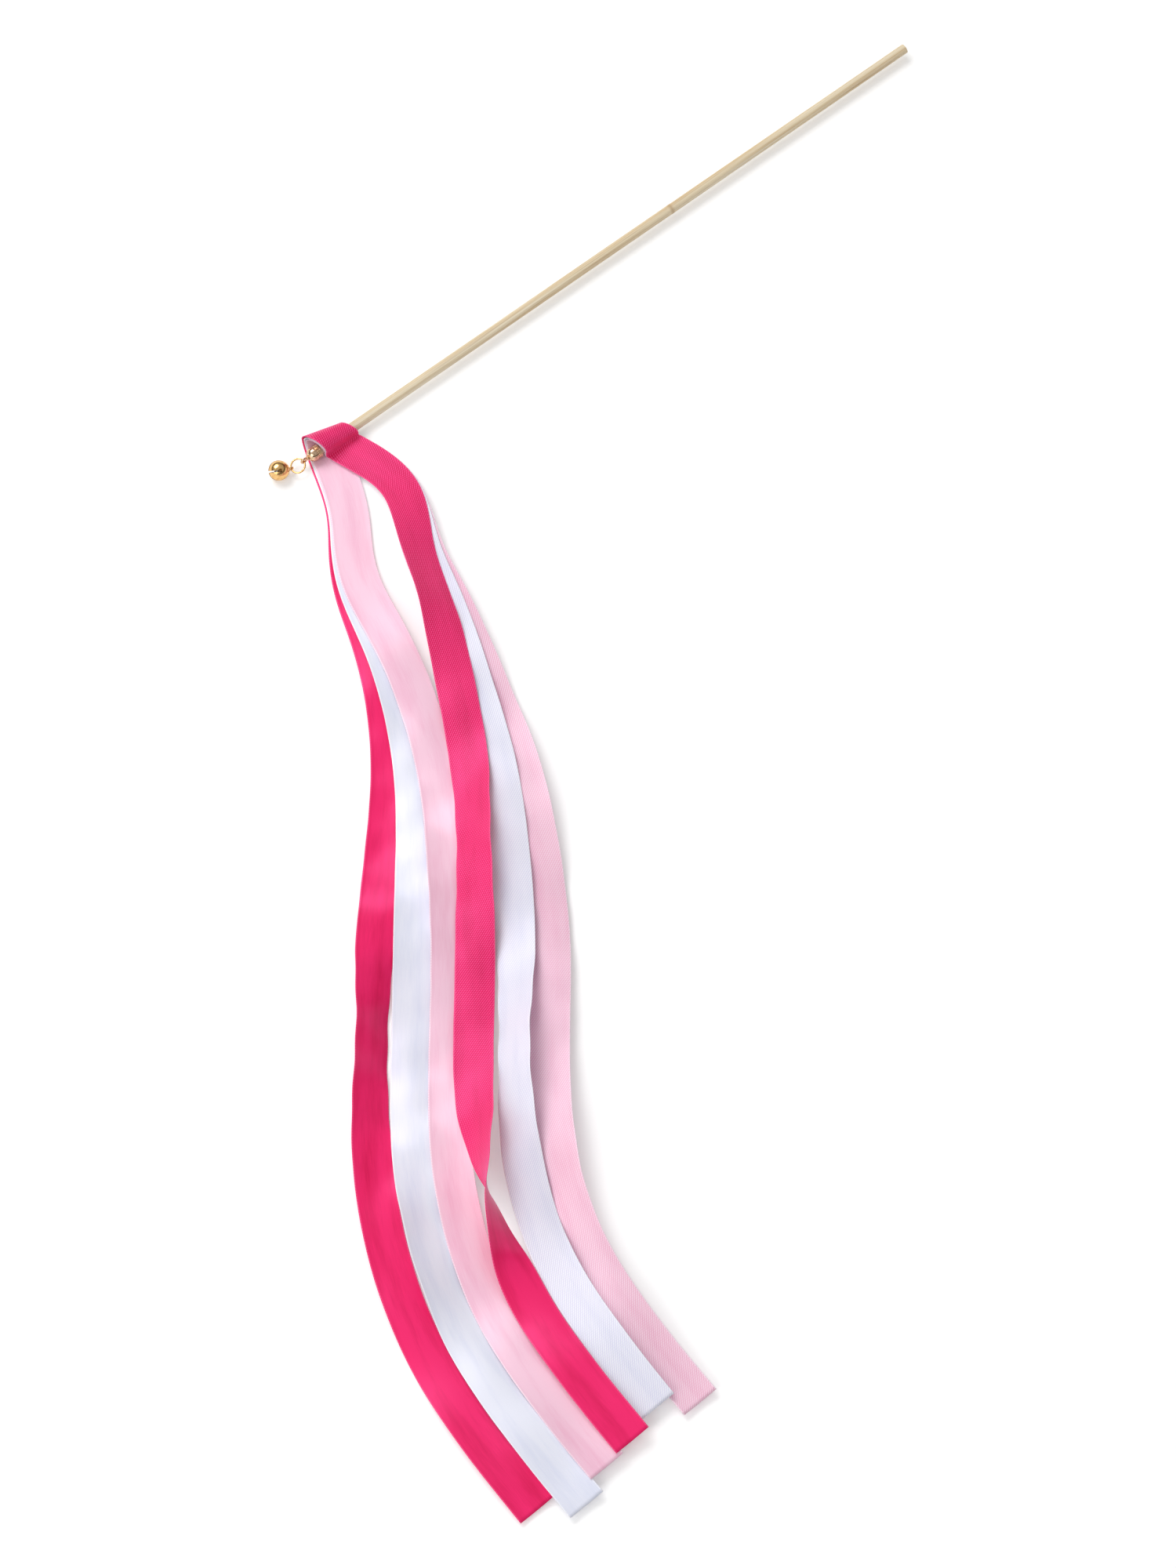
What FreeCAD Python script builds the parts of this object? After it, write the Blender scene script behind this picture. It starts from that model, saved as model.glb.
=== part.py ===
"""Ribbon wand: a bamboo stick with a sleeve of three folded satin ribbons and a jingle bell.

Millimetres. The origin is the centre of the stick's handle end. +X points out of that end,
so the stick runs towards -X to its end cap, +Z is up, and the ribbon tails lie on the -Y side.
"""

import FreeCAD, Part
import math
import operator
import os

import Sketcher

Vector = FreeCAD.Vector
doc = FreeCAD.newDocument("ribbon_wand")

# ---------------------------------------------------------------- driving dimensions

DIMENSIONS = [
    # alias, value in mm or degrees, what it measures
    ("stick_length", 300.0, "bamboo stick from end to end"),
    ("stick_diameter", 4.0, "bamboo stick"),
    ("stick_chamfer", 0.3, "sanded edge at the cap end"),
    ("growth_ring_offset", 121.0, "bamboo growth ring from the handle end"),
    ("growth_ring_width", 1.8, "length of the growth ring along the stick"),
    ("growth_ring_rise", 0.07, "height of the growth ring over the stick"),
    ("cap_diameter", 5.8, "end cap at its barrel"),
    ("cap_bore", 4.2, "hole that takes the stick"),
    ("cap_bore_depth", 4.6, "depth of that hole"),
    ("cap_collar", 2.1, "length of the ridged collar"),
    ("cap_collar_diameter", 5.4, "collar between its ridges"),
    ("cap_ridge_rise", 0.15, "height of a ridge over the collar"),
    ("cap_barrel", 0.6, "straight barrel before the dome"),
    ("cap_neck_diameter", 1.8, "neck between the dome and the eye"),
    ("cap_neck_length", 0.5, "length of the neck's bead"),
    ("cap_neck_round", 0.3, "rounding of the neck's bead"),
    ("eye_diameter", 3.3, "outside of the cap's eye"),
    ("eye_wire", 0.85, "thickness of the eye"),
    ("glue_disc", 0.3, "glue between the stick's end and the cap"),
    ("ring_diameter", 6.4, "outside of the jump ring"),
    ("ring_wire", 0.7, "jump ring wire"),
    ("ring_gap", 0.12, "slit where the jump ring was closed"),
    ("ring_slack", 0.3, "how far the ring hangs off the middle of the eye"),
    ("ring_droop", 15.0, "slope of the jump ring at rest"),
    ("bell_diameter", 8.0, "jingle bell at its middle"),
    ("bell_crown", 4.25, "height of the bell's crown over its middle"),
    ("bell_wall", 0.35, "sheet brass of the bell"),
    ("bell_crown_hole", 1.9, "hole in the crown for the loop's legs"),
    ("bell_slot", 0.7, "width of the two crossed slots"),
    ("bell_slot_hole", 1.5, "round hole at the end of a slot"),
    ("bell_slot_top", 0.5, "middle of that hole under the bell's middle"),
    ("bell_turn", 30.0, "turn of the slots about the bell's own axis"),
    ("bell_yaw", 20.0, "how far round the ring the bell hangs off the stick's line"),
    ("loop_diameter", 2.4, "outside of the bell's wire loop"),
    ("loop_wire", 0.6, "wire of the bell's loop"),
    ("loop_rise", 0.75, "middle of the loop over the crown"),
    ("loop_slack", 0.2, "how far the loop hangs off the middle of the ring's wire"),
    ("loop_leg", 0.62, "leg of the loop from the bell's axis"),
    ("loop_bend", 0.35, "bend at the foot and the neck of the loop"),
    ("loop_foot_reach", 1.5, "end of a clinched foot from the bell's axis"),
    ("loop_foot_height", 3.2, "clinched foot over the bell's middle"),
    ("pellet_diameter", 3.0, "steel pellet in the bell"),
    ("pellet_play", 0.1, "gap between the pellet and the bell's wall"),
    ("ribbon_width", 15.0, "satin ribbon, edge to edge"),
    ("ribbon_thickness", 0.25, "satin ribbon"),
    ("layer_pitch", 0.4, "ribbon to ribbon where they lie in a stack"),
    ("stick_gap", 0.15, "gap from the stick or the cap to the innermost ribbon"),
    ("mouth_reach", 2.9, "far corner of the sleeve's mouth beyond the cap's rim"),
    ("fold_length", 15.9, "length of the fold's far side along the stick"),
    ("mouth_radius", 3.9, "innermost ribbon's fold at the cap's end"),
    ("mouth_looseness", 0.45, "extra room for each further ribbon there"),
    ("mouth_shift", 1.9, "middle of that fold from the stick's axis, away from the tails"),
    ("mouth_crest", 150.0, "how far round that fold keeps its radius, up from the far side"),
    ("neck_radius", 2.8, "innermost ribbon's fold at the handle's end"),
    ("neck_looseness", 0.05, "extra room for each further ribbon there"),
    ("neck_shift", 0.6, "middle of that fold from the stick's axis, away from the tails"),
    ("neck_crest", 110.0, "how far round that fold keeps its radius, up from the far side"),
    ("corner_radius", 1.4, "innermost ribbon's bend from beside the stick into the upper tail"),
    ("pinch_reach", 4.3, "start of the flat tails, from the stick's axis"),
    ("upper_lean", 20.0, "upper half of the fold off square, towards the handle"),
    ("lower_lean", 18.0, "lower half of the fold off square, towards the cap"),
    ("upper_inset", 0.15, "edge of each ribbon inside the next one's in the upper half"),
    ("lower_inset", 0.75, "the same in the lower half, where the lining shows"),
    ("glue_line", 2.8, "width of the glue that closes the fold"),
    ("glue_length", 5.0, "length of the glue that closes the fold"),
    ("glue_start", 2.9, "start of that glue from the cap's rim"),
    ("glue_margin", 0.1, "start of the flat tails to that glue"),
    ("bead_width", 1.5, "width of the bead of glue under the stick"),
    ("bead_length", 9.0, "length of that bead"),
    ("bead_start", 1.2, "start of that bead from the cap's rim"),
    ("bead_climb", 0.25, "how far that bead rises up the stick's side"),
    ("tail_loosening", 0.25, "extra room between two layers beyond the sleeve"),
    ("tail_turn", 15.0, "turn of the lower tails just outside the sleeve, towards the cap"),
    ("tail_swing", 21.0, "turn back below the cap"),
    ("tail_settle", 25.0, "slow turn to the tails' long run"),
    ("tail_return", 36.0, "turn back over the last third of the tails"),
    ("tail_sway", 3.0, "swing of the tails' long run to each side"),
    ("tail_sway_length", 250.0, "length of one such swing there and back"),
    ("tail_close", 8.0, "turn of the upper tails towards the lower ones"),
    ("tail_wave", 3.2, "height of the long waves in the tails"),
    ("tail_wave_length", 96.0, "length of those waves"),
    ("tail_wave_start", 40.0, "first trough of those waves from the start of the tails"),
    ("tail_run", 23.0, "middle line of the tails off square, towards the cap"),
    ("tail_arch", 2.4, "rise of the upper tails where they leave the sleeve"),
    ("stick_height", 4.25, "stick's axis over the surface that the wand lies on"),
]


class Size:
    """A size worked out from the sheet: its number now and the formula that keeps it bound."""

    def __init__(self, value, formula):
        self.value = value
        self.formula = formula

    def joined(self, sign, other):
        pair = as_size(other)
        value = OPERATORS[sign](self.value, pair.value)
        return Size(value, f"({self.formula} {sign} {pair.formula})")

    def __add__(self, other):
        return self.joined("+", other)

    def __sub__(self, other):
        return self.joined("-", other)

    def __rsub__(self, other):
        return as_size(other).joined("-", self)

    def __mul__(self, other):
        return self.joined("*", other)

    def __truediv__(self, other):
        return self.joined("/", other)

    def __neg__(self):
        return self * -1


OPERATORS = {"+": operator.add, "-": operator.sub, "*": operator.mul, "/": operator.truediv}


def as_size(number):
    return number if isinstance(number, Size) else Size(float(number), f"({float(number)})")


def root(size):
    return Size(math.sqrt(size.value), f"sqrt({size.formula})")


def leg(hypotenuse, other):
    """The second leg of a right triangle."""
    return root(hypotenuse * hypotenuse - other * other)


def fill_sheet():
    sheet = doc.addObject("Spreadsheet::Sheet", "Dimensions")
    for row, (alias, value, note) in enumerate(DIMENSIONS, start=1):
        sheet.set(f"A{row}", alias)
        sheet.set(f"B{row}", str(value))
        sheet.set(f"C{row}", note)
        sheet.setAlias(f"B{row}", alias)
    doc.recompute()
    return {
        alias: Size(float(sheet.get(alias)), f"Dimensions.{alias}")
        for alias, _, _ in DIMENSIONS
    }


SIZES = fill_sheet()
ZERO = as_size(0)


def size(alias):
    return SIZES[alias]


def mm(alias):
    """The bare number in the sheet, for the forms that are worked out point by point."""
    return SIZES[alias].value


# ---------------------------------------------------------------- sketches and features


def new_body(label):
    body = doc.addObject("PartDesign::Body", label)
    body.Label = label
    return body


def place(item, x=ZERO, y=ZERO, z=ZERO):
    for axis, value in zip("xyz", (x, y, z)):
        item.setExpression(f"Placement.Base.{axis}", as_size(value).formula)


def new_sketch(body, name, plane, offset=None):
    """A sketch on one of the body's own origin planes, or at an offset along its normal."""
    sketch = body.newObject("Sketcher::SketchObject", name)
    support = next(f for f in body.Origin.OriginFeatures if f.Role == plane)
    sketch.AttachmentSupport = (support, [""])
    sketch.MapMode = "FlatFace"
    if offset is not None:
        sketch.setExpression("AttachmentOffset.Base.z", offset.formula)
    return sketch


def bind(sketch, constraint, value):
    """Adds a constraint whose number follows the sheet."""
    index = sketch.addConstraint(Sketcher.Constraint(*constraint, value.value))
    sketch.setExpression(f"Constraints[{index}]", value.formula)


def arc_between(start, end, radius, side):
    """The short arc from start to end. Its centre is on the left of the way there for side 1,
    and on the right for side -1."""
    chord = end - start
    middle = (start + end) / 2
    left = Vector(-chord.y, chord.x, 0).normalize()
    reach = math.sqrt(max(radius**2 - chord.Length**2 / 4, 0))
    centre = middle + left * (reach * side)
    first, last = (start, end) if side > 0 else (end, start)
    circle = Part.Circle(centre, Vector(0, 0, 1), radius)
    return Part.ArcOfCircle(
        circle,
        math.atan2(first.y - centre.y, first.x - centre.x),
        math.atan2(last.y - centre.y, last.x - centre.x),
    )


def draw_outline(sketch, corners, closed=True):
    """Draws lines and arcs from corner to corner. A corner is (across, up), or
    (across, up, radius, side) where an arc leads on to the next one."""
    corners = [tuple(as_size(v) for v in c[:3]) + tuple(c[3:]) for c in corners]
    count = len(corners) if closed else len(corners) - 1
    ends = []
    for i in range(count):
        here, there = corners[i], corners[(i + 1) % len(corners)]
        start = Vector(here[0].value, here[1].value, 0)
        end = Vector(there[0].value, there[1].value, 0)
        if len(here) == 2:
            edge = sketch.addGeometry(Part.LineSegment(start, end))
            ends.append((edge, 1, 2))
            continue
        edge = sketch.addGeometry(arc_between(start, end, here[2].value, here[3]))
        ends.append((edge, 1, 2) if here[3] > 0 else (edge, 2, 1))
    for i in range(count if closed else count - 1):
        (edge, _, last), (following, first, _) = ends[i], ends[(i + 1) % count]
        sketch.addConstraint(Sketcher.Constraint("Coincident", edge, last, following, first))
    for i, (edge, first, _) in enumerate(ends):
        bind(sketch, ("DistanceX", edge, first), corners[i][0])
        bind(sketch, ("DistanceY", edge, first), corners[i][1])
        if len(corners[i]) == 4:
            bind(sketch, ("Radius", edge), corners[i][2])
    if not closed:
        edge, _, last = ends[-1]
        bind(sketch, ("DistanceX", edge, last), corners[-1][0])
        bind(sketch, ("DistanceY", edge, last), corners[-1][1])


def draw_circle(sketch, across, up, radius):
    across, up = as_size(across), as_size(up)
    middle = Vector(across.value, up.value, 0)
    edge = sketch.addGeometry(Part.Circle(middle, Vector(0, 0, 1), radius.value))
    bind(sketch, ("DistanceX", edge, 3), across)
    bind(sketch, ("DistanceY", edge, 3), up)
    bind(sketch, ("Radius", edge), radius)


def revolve(body, name, sketch, axis, angle=360.0):
    feature = body.newObject("PartDesign::Revolution", name)
    feature.Profile = sketch
    feature.ReferenceAxis = (sketch, [axis])
    feature.Angle = angle
    body.Tip = feature
    return feature


# ---------------------------------------------------------------- stick and end cap

CAP_RIM = -(size("stick_length")) + size("cap_bore_depth") - size("glue_disc")
DOME_LENGTH = leg(size("cap_diameter") / 2, size("cap_neck_diameter") / 2)
NECK_START = size("cap_collar") + size("cap_barrel") + DOME_LENGTH
EYE_MINOR = size("eye_wire") / 2
EYE_MAJOR = size("eye_diameter") / 2 - EYE_MINOR
EYE_REACH = NECK_START + size("cap_neck_length") + size("eye_diameter") / 2 - EYE_MINOR / 2
EYE_X = CAP_RIM - EYE_REACH


def make_stick():
    """A round bamboo stick, turned as one profile with its flush-sanded growth ring."""
    body = new_body("stick")
    radius, length = size("stick_diameter") / 2, size("stick_length")
    edge = size("stick_chamfer")
    near = -(size("growth_ring_offset"))
    half = size("growth_ring_width") / 2
    rise = size("growth_ring_rise")
    ring_radius = (half * half + rise * rise) / (rise * 2)
    sketch = new_sketch(body, "StickProfile", "XZ_Plane")
    corners = [
        (ZERO, ZERO),
        (ZERO, radius),
        (near + half, radius, ring_radius, 1),
        (near - half, radius),
        (edge - length, radius),
        (-length, radius - edge),
        (-length, ZERO),
    ]
    draw_outline(sketch, corners)
    revolve(body, "StickRound", sketch, "H_Axis")


def make_end_cap():
    """The turned cap: a ridged collar, a short barrel, a round dome, a beaded neck and an eye.

    Its own frame has the rim at the origin and the eye towards -X.
    """
    body = new_body("end_cap")
    bore, depth = size("cap_bore") / 2, size("cap_bore_depth")
    collar, barrel = size("cap_collar_diameter") / 2, size("cap_diameter") / 2
    ridge_count = 4
    flat_start, flat_end = 0.3, 0.7
    ridge = size("cap_collar") / ridge_count
    rise = size("cap_ridge_rise")
    neck = size("cap_neck_diameter") / 2
    neck_end = NECK_START + size("cap_neck_length")

    sketch = new_sketch(body, "CapProfile", "XZ_Plane")
    corners = [(-depth, ZERO), (-depth, bore), (ZERO, bore)]
    for i in range(ridge_count):
        corners.append((-(ridge * i), collar))
        corners.append((-(ridge * (i + flat_start)), collar + rise))
        corners.append((-(ridge * (i + flat_end)), collar + rise))
    corners += [
        (-(ridge * ridge_count), collar),
        (-(ridge * ridge_count), barrel),
        (-(ridge * ridge_count) - size("cap_barrel"), barrel, barrel, 1),
        (-NECK_START, neck, size("cap_neck_round"), 1),
        (-neck_end, neck),
        (-neck_end, ZERO),
    ]
    draw_outline(sketch, corners)
    revolve(body, "CapRound", sketch, "H_Axis")

    eye_sketch = new_sketch(body, "EyeSection", "XY_Plane")
    draw_circle(eye_sketch, EYE_MAJOR - EYE_REACH, 0, EYE_MINOR)
    middle = Vector(-EYE_REACH.value, 0, 0)
    half_pin = Vector(0, 1, 0)
    pin = eye_sketch.addGeometry(Part.LineSegment(middle - half_pin, middle + half_pin), True)
    eye_sketch.addConstraint(Sketcher.Constraint("Vertical", pin))
    bind(eye_sketch, ("DistanceX", pin, 1), -EYE_REACH)
    bind(eye_sketch, ("DistanceY", pin, 1), as_size(-1))
    bind(eye_sketch, ("DistanceY", pin, 2), as_size(1))
    revolve(body, "Eye", eye_sketch, "Axis0")
    place(body, x=CAP_RIM)


def make_cap_glue():
    """The glue that fills the cap round the stick: a thin cup, in the cap's own frame."""
    body = new_body("cap_glue")
    outer, inner = size("cap_bore") / 2, size("stick_diameter") / 2
    depth, floor = size("cap_bore_depth"), size("cap_bore_depth") - size("glue_disc")
    sketch = new_sketch(body, "GlueProfile", "XZ_Plane")
    edge = size("stick_chamfer")
    corners = [
        (-depth, ZERO),
        (-depth, outer),
        (ZERO, outer),
        (ZERO, inner),
        (edge - floor, inner),
        (-floor, inner - edge),
        (-floor, ZERO),
    ]
    draw_outline(sketch, corners)
    revolve(body, "GlueRound", sketch, "H_Axis")
    place(body, x=CAP_RIM)


# ---------------------------------------------------------------- jump ring and bell

RING_MINOR = size("ring_wire") / 2
RING_MAJOR = size("ring_diameter") / 2 - RING_MINOR
RING_OFFSET = size("ring_slack") + RING_MAJOR
LOOP_MINOR = size("loop_wire") / 2
LOOP_MAJOR = size("loop_diameter") / 2 - LOOP_MINOR
LOOP_CENTRE = size("bell_crown") + size("loop_rise")


def make_jump_ring():
    """A wire ring with its closing slit on the side. Its own frame: centre, axis along Z."""
    body = new_body("jump_ring")
    sketch = new_sketch(body, "RingSection", "XZ_Plane")
    draw_circle(sketch, RING_MAJOR, 0, RING_MINOR)
    slit = size("ring_gap") / RING_MAJOR * (180 / math.pi)
    ring = revolve(body, "Ring", sketch, "V_Axis", 359.0)
    ring.setExpression("Angle", f"360 - {slit.formula}")
    return body


def bell_profile():
    """Outside and inside of the bell's wall: round below, a little drawn out to the crown."""
    outer, wall = size("bell_diameter") / 2, size("bell_wall")
    hole, crown = size("bell_crown_hole") / 2, size("bell_crown")
    inset = outer - hole
    shoulder = (inset * inset + crown * crown) / (inset * 2)
    inner_shoulder = shoulder - wall
    inner_crown = leg(inner_shoulder, hole + shoulder - outer)
    return [
        (ZERO, -outer, outer, 1),
        (outer, ZERO, shoulder, 1),
        (hole, crown),
        (hole, inner_crown, inner_shoulder, -1),
        (outer - wall, ZERO, outer - wall, -1),
        (ZERO, wall - outer),
    ]


def make_bell_shell():
    """A sheet-brass jingle bell: a drop-shaped shell with two crossed keyhole slots below.

    Its own frame: middle of the ball, crown along +Z.
    """
    body = new_body("bell_shell")
    sketch = new_sketch(body, "BellWall", "XZ_Plane")
    draw_outline(sketch, bell_profile())
    revolve(body, "BellRound", sketch, "V_Axis")
    doc.recompute()
    whole = body.Shape.Volume

    half, eye = size("bell_slot") / 2, size("bell_slot_hole") / 2
    level = -(size("bell_slot_top"))
    join = level - leg(eye, half)
    below = -(size("bell_diameter"))
    keyhole = new_sketch(body, "Keyhole", "YZ_Plane")
    corners = [
        (-half, below),
        (half, below),
        (half, join, eye, 1),
        (ZERO, level + eye, eye, 1),
        (-half, join),
    ]
    draw_outline(keyhole, corners)
    slot = body.newObject("PartDesign::Pocket", "Slot")
    slot.Profile = keyhole
    slot.Type = "Length"
    slot.SideType = "Symmetric"
    slot.setExpression("Length", (size("bell_diameter") * 2).formula)
    doc.recompute()
    assert slot.Shape.Volume < whole, "the slot has to open the shell"

    crossed = body.newObject("PartDesign::PolarPattern", "CrossedSlots")
    crossed.Originals = [slot]
    crossed.Axis = (sketch, ["V_Axis"])
    crossed.Angle = 90
    crossed.Occurrences = 2
    body.Tip = crossed
    doc.recompute()
    assert crossed.Shape.Volume < slot.Shape.Volume, "the second slot has to open the shell"
    return body


def loop_path():
    """Half of the loop's wire, from its clinched foot up to the top, then the other half."""
    leg_x, bend = size("loop_leg"), size("loop_bend")
    foot_x, foot_z = size("loop_foot_reach"), size("loop_foot_height")
    share = LOOP_MAJOR / (LOOP_MAJOR + bend)
    waist_drop = leg(LOOP_MAJOR + bend, leg_x + bend)
    waist = LOOP_CENTRE - waist_drop
    join_x, join_z = (leg_x + bend) * share, LOOP_CENTRE - waist_drop * share
    return [
        (foot_x, foot_z),
        (leg_x + bend, foot_z, bend, -1),
        (leg_x, foot_z + bend),
        (leg_x, waist, bend, -1),
        (join_x, join_z, LOOP_MAJOR, 1),
        (ZERO, LOOP_CENTRE + LOOP_MAJOR, LOOP_MAJOR, 1),
        (-join_x, join_z, bend, -1),
        (-leg_x, waist),
        (-leg_x, foot_z + bend, bend, -1),
        (-leg_x - bend, foot_z),
        (-foot_x, foot_z),
    ]


def make_bell_loop():
    """The bell's wire loop: an open-waisted arch whose legs are clinched under the crown."""
    body = new_body("bell_loop")
    path = new_sketch(body, "LoopPath", "XZ_Plane")
    draw_outline(path, loop_path(), closed=False)
    section = new_sketch(body, "LoopSection", "YZ_Plane", size("loop_foot_reach"))
    draw_circle(section, 0, size("loop_foot_height"), LOOP_MINOR)
    pipe = body.newObject("PartDesign::AdditivePipe", "LoopWire")
    pipe.Profile = section
    pipe.Spine = path
    pipe.Mode = "Standard"
    body.Tip = pipe
    return body


def make_pellet():
    pellet = doc.addObject("Part::Sphere", "bell_pellet")
    pellet.Label = "bell_pellet"
    pellet.setExpression("Radius", (size("pellet_diameter") / 2).formula)
    return pellet


RING_SLIT_TURN = -70.0


def hang_bell(ring, shell, loop, pellet):
    """Lays the ring in the cap's eye and the bell on the ring, so that the bell lies on the
    surface under the wand."""
    eye = Vector(EYE_X.value, 0, 0)
    slope = FreeCAD.Rotation(Vector(0, 1, 0), -mm("ring_droop"))
    ring_turn = slope * FreeCAD.Rotation(Vector(0, 0, 1), RING_SLIT_TURN)
    centre = eye + slope.multVec(Vector(-RING_OFFSET.value, 0, 0))
    ring.Placement = FreeCAD.Placement(centre, ring_turn)

    outward = slope * FreeCAD.Rotation(Vector(0, 0, 1), 180 - mm("bell_yaw"))
    wire = centre + outward.multVec(Vector(RING_MAJOR.value, 0, 0))
    reach = LOOP_CENTRE.value
    flat = outward.multVec(Vector(1, 0, 0))
    flat.z = 0
    flat.normalize()
    slack = wire + flat * mm("loop_slack")
    rise = mm("bell_diameter") / 2 - mm("stick_height") - slack.z
    tilt = math.asin(rise / reach)
    towards_ring = -(flat * math.cos(tilt)) - Vector(0, 0, math.sin(tilt))
    middle = slack - towards_ring * reach

    aim = FreeCAD.Rotation(Vector(0, 0, 1), towards_ring)
    flat_loop = aim.multVec(Vector(1, 0, 0))
    hinge = flat.cross(Vector(0, 0, 1))
    level = math.degrees(
        math.atan2(flat_loop.cross(hinge).dot(towards_ring), flat_loop.dot(hinge))
    )
    loop.Placement = FreeCAD.Placement(
        middle, aim * FreeCAD.Rotation(Vector(0, 0, 1), level + 90)
    )
    shell.Placement = FreeCAD.Placement(
        middle, aim * FreeCAD.Rotation(Vector(0, 0, 1), level + mm("bell_turn"))
    )
    lowest = Vector(0, 0, -1) + towards_ring * towards_ring.z
    lowest.normalize()
    orbit = mm("bell_diameter") / 2 - mm("bell_wall") - mm("pellet_play") - mm("pellet_diameter") / 2
    pellet.Placement = FreeCAD.Placement(middle + lowest * orbit, FreeCAD.Rotation())
    print("eye", tuple(round(v, 4) for v in eye))
    print("ring wire at the bell", tuple(round(v, 4) for v in wire))
    print("bell hinge axis", tuple(round(v, 5) for v in hinge))
    print("bell middle", tuple(round(v, 4) for v in middle))
    print("bell axis", tuple(round(v, 5) for v in towards_ring))


# ---------------------------------------------------------------- ribbons

# The three ribbons lie on each other and are folded askew round the stick, so each has two
# tails, and the ones from the fold's lower half come out under the cap.
# fan: where a tail ends up beside the middle line of its three, positive to the +X side
# length: start of the flat tail to its cut end
# rolls: (distance from the start, half length, degrees) of each place where the tail stands
# up on one edge; flip: where it turns over, or None
RIBBONS = [
    {
        "node": "ribbon_pale_pink",
        "upper": {"fan": 24.0, "length": 428.0, "rolls": [(320, 62, 24)], "flip": None},
        "lower": {"fan": 1.5, "length": 426.0, "rolls": [(205, 55, -14)], "flip": None},
    },
    {
        "node": "ribbon_white",
        "upper": {"fan": 11.0, "length": 420.0, "rolls": [(265, 75, 36), (385, 45, 12)], "flip": None},
        "lower": {"fan": -12.0, "length": 432.0, "rolls": [(330, 60, -18)], "flip": None},
    },
    {
        "node": "ribbon_hot_pink",
        "upper": {"fan": -4.0, "length": 424.0, "rolls": [(66, 50, -34), (185, 60, 30)], "flip": (262, 372)},
        "lower": {"fan": -26.0, "length": 422.0, "rolls": [(250, 70, -38)], "flip": None},
    },
]

LOWEST_LAYER = 0.5 - len(RIBBONS)
OUTERMOST = len(RIBBONS) - 1
WIDTH = mm("ribbon_width")
LAYER_PITCH = mm("layer_pitch")
FOLD_BOTTOM = -(mm("cap_diameter") + mm("ribbon_thickness")) / 2 - mm("stick_gap")
STACK_MIDDLE = FOLD_BOTTOM + LAYER_PITCH / 2
MOUTH = {
    "far_x": CAP_RIM.value - mm("mouth_reach"),
    "radius": mm("mouth_radius"),
    "step": LAYER_PITCH + mm("mouth_looseness"),
    "shift": mm("mouth_shift"),
    "crest": mm("mouth_crest"),
}
NECK = {
    "far_x": MOUTH["far_x"] + mm("fold_length"),
    "radius": mm("neck_radius"),
    "step": LAYER_PITCH + mm("neck_looseness"),
    "shift": mm("neck_shift"),
    "crest": mm("neck_crest"),
}
ARC_STEPS = 14
RISE_STEPS = 4
RISE_PULL = 0.42
CORNER_STEPS = 3
TAIL_STEP = 8.0
ROUTE_STEP = 1.0

# Where along a tail each change begins and ends, from the start of the flat tail.
GLUE_END = 4.0
CHANGES = {
    "turn": (GLUE_END, 34.0),
    "swing": (30.0, 68.0),
    "settle": (66.0, 175.0),
    "return": (235.0, 430.0),
    "sway": (80.0, 130.0),
    "parting": (GLUE_END, 52.0),
    "fan": (14.0, 232.0),
    "loosening": (12.0, 90.0),
    "waves": (22.0, 120.0),
    "calming": (350.0, 430.0),
}
CALM = 0.55
SWAY_MIDDLE = 90.0
CLOSE_MIDDLE, CLOSE_HALF = 85.0, 60.0
ARCH_MIDDLE, ARCH_HALF = 32.0, 30.0
WAVE_SLANT = 0.5
EDGE_REST = 0.01


def smooth(value, start, end):
    """0 before start, 1 after end, and an S-shaped rise between."""
    share = min(max((value - start) / (end - start), 0.0), 1.0)
    return share * share * (3 - 2 * share)


def progress(change, along):
    """How much of a change has happened, 0 to 1."""
    return smooth(along, *CHANGES[change])


def hump(value, middle, half):
    """A rounded hump, 1 in the middle and 0 at half to each side."""
    share = (value - middle) / half
    return math.cos(math.pi / 2 * share) ** 2 if abs(share) < 1 else 0.0


def plan_direction(degrees):
    """Unit vector in plan at an angle from +X."""
    return Vector(math.cos(math.radians(degrees)), math.sin(math.radians(degrees)), 0)


def start_line(half):
    """Mouth and neck corner, in plan, of the line on which the tails of one half start. The
    line is square to that half, and its mouth corner lies on the half's straight edge."""
    far = MOUTH["shift"] + MOUTH["radius"] + OUTERMOST * MOUTH["step"]
    lean = mm("upper_lean") if half == "upper" else -mm("lower_lean")
    across = plan_direction(lean) * WIDTH
    y = -mm("pinch_reach") - max(across.y, 0)
    mouth = Vector(MOUTH["far_x"] + math.tan(math.radians(lean)) * (far - y), y, 0)
    return mouth, mouth + across


START_LINES = {half: start_line(half) for half in ("upper", "lower")}


def inset(half, rank):
    return Vector(mm(half + "_inset") * (OUTERMOST - rank), 0, 0)


def heading(along, half):
    """Direction of one half's tails in plan, in degrees from +X."""
    turned = mm("tail_turn") * progress("turn", along)
    swung = mm("tail_swing") * progress("swing", along)
    settled = mm("tail_settle") * progress("settle", along)
    returned = mm("tail_return") * progress("return", along)
    swing = math.sin(2 * math.pi * (along - SWAY_MIDDLE) / mm("tail_sway_length"))
    sway = mm("tail_sway") * swing * progress("sway", along)
    lower = -90.0 - mm("lower_lean") - turned + swung - settled + returned + sway
    if half == "lower":
        return lower
    apart = (mm("upper_lean") + mm("lower_lean")) * (1 - progress("parting", along))
    return lower + apart - mm("tail_close") * hump(along, CLOSE_MIDDLE, CLOSE_HALF)


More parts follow.
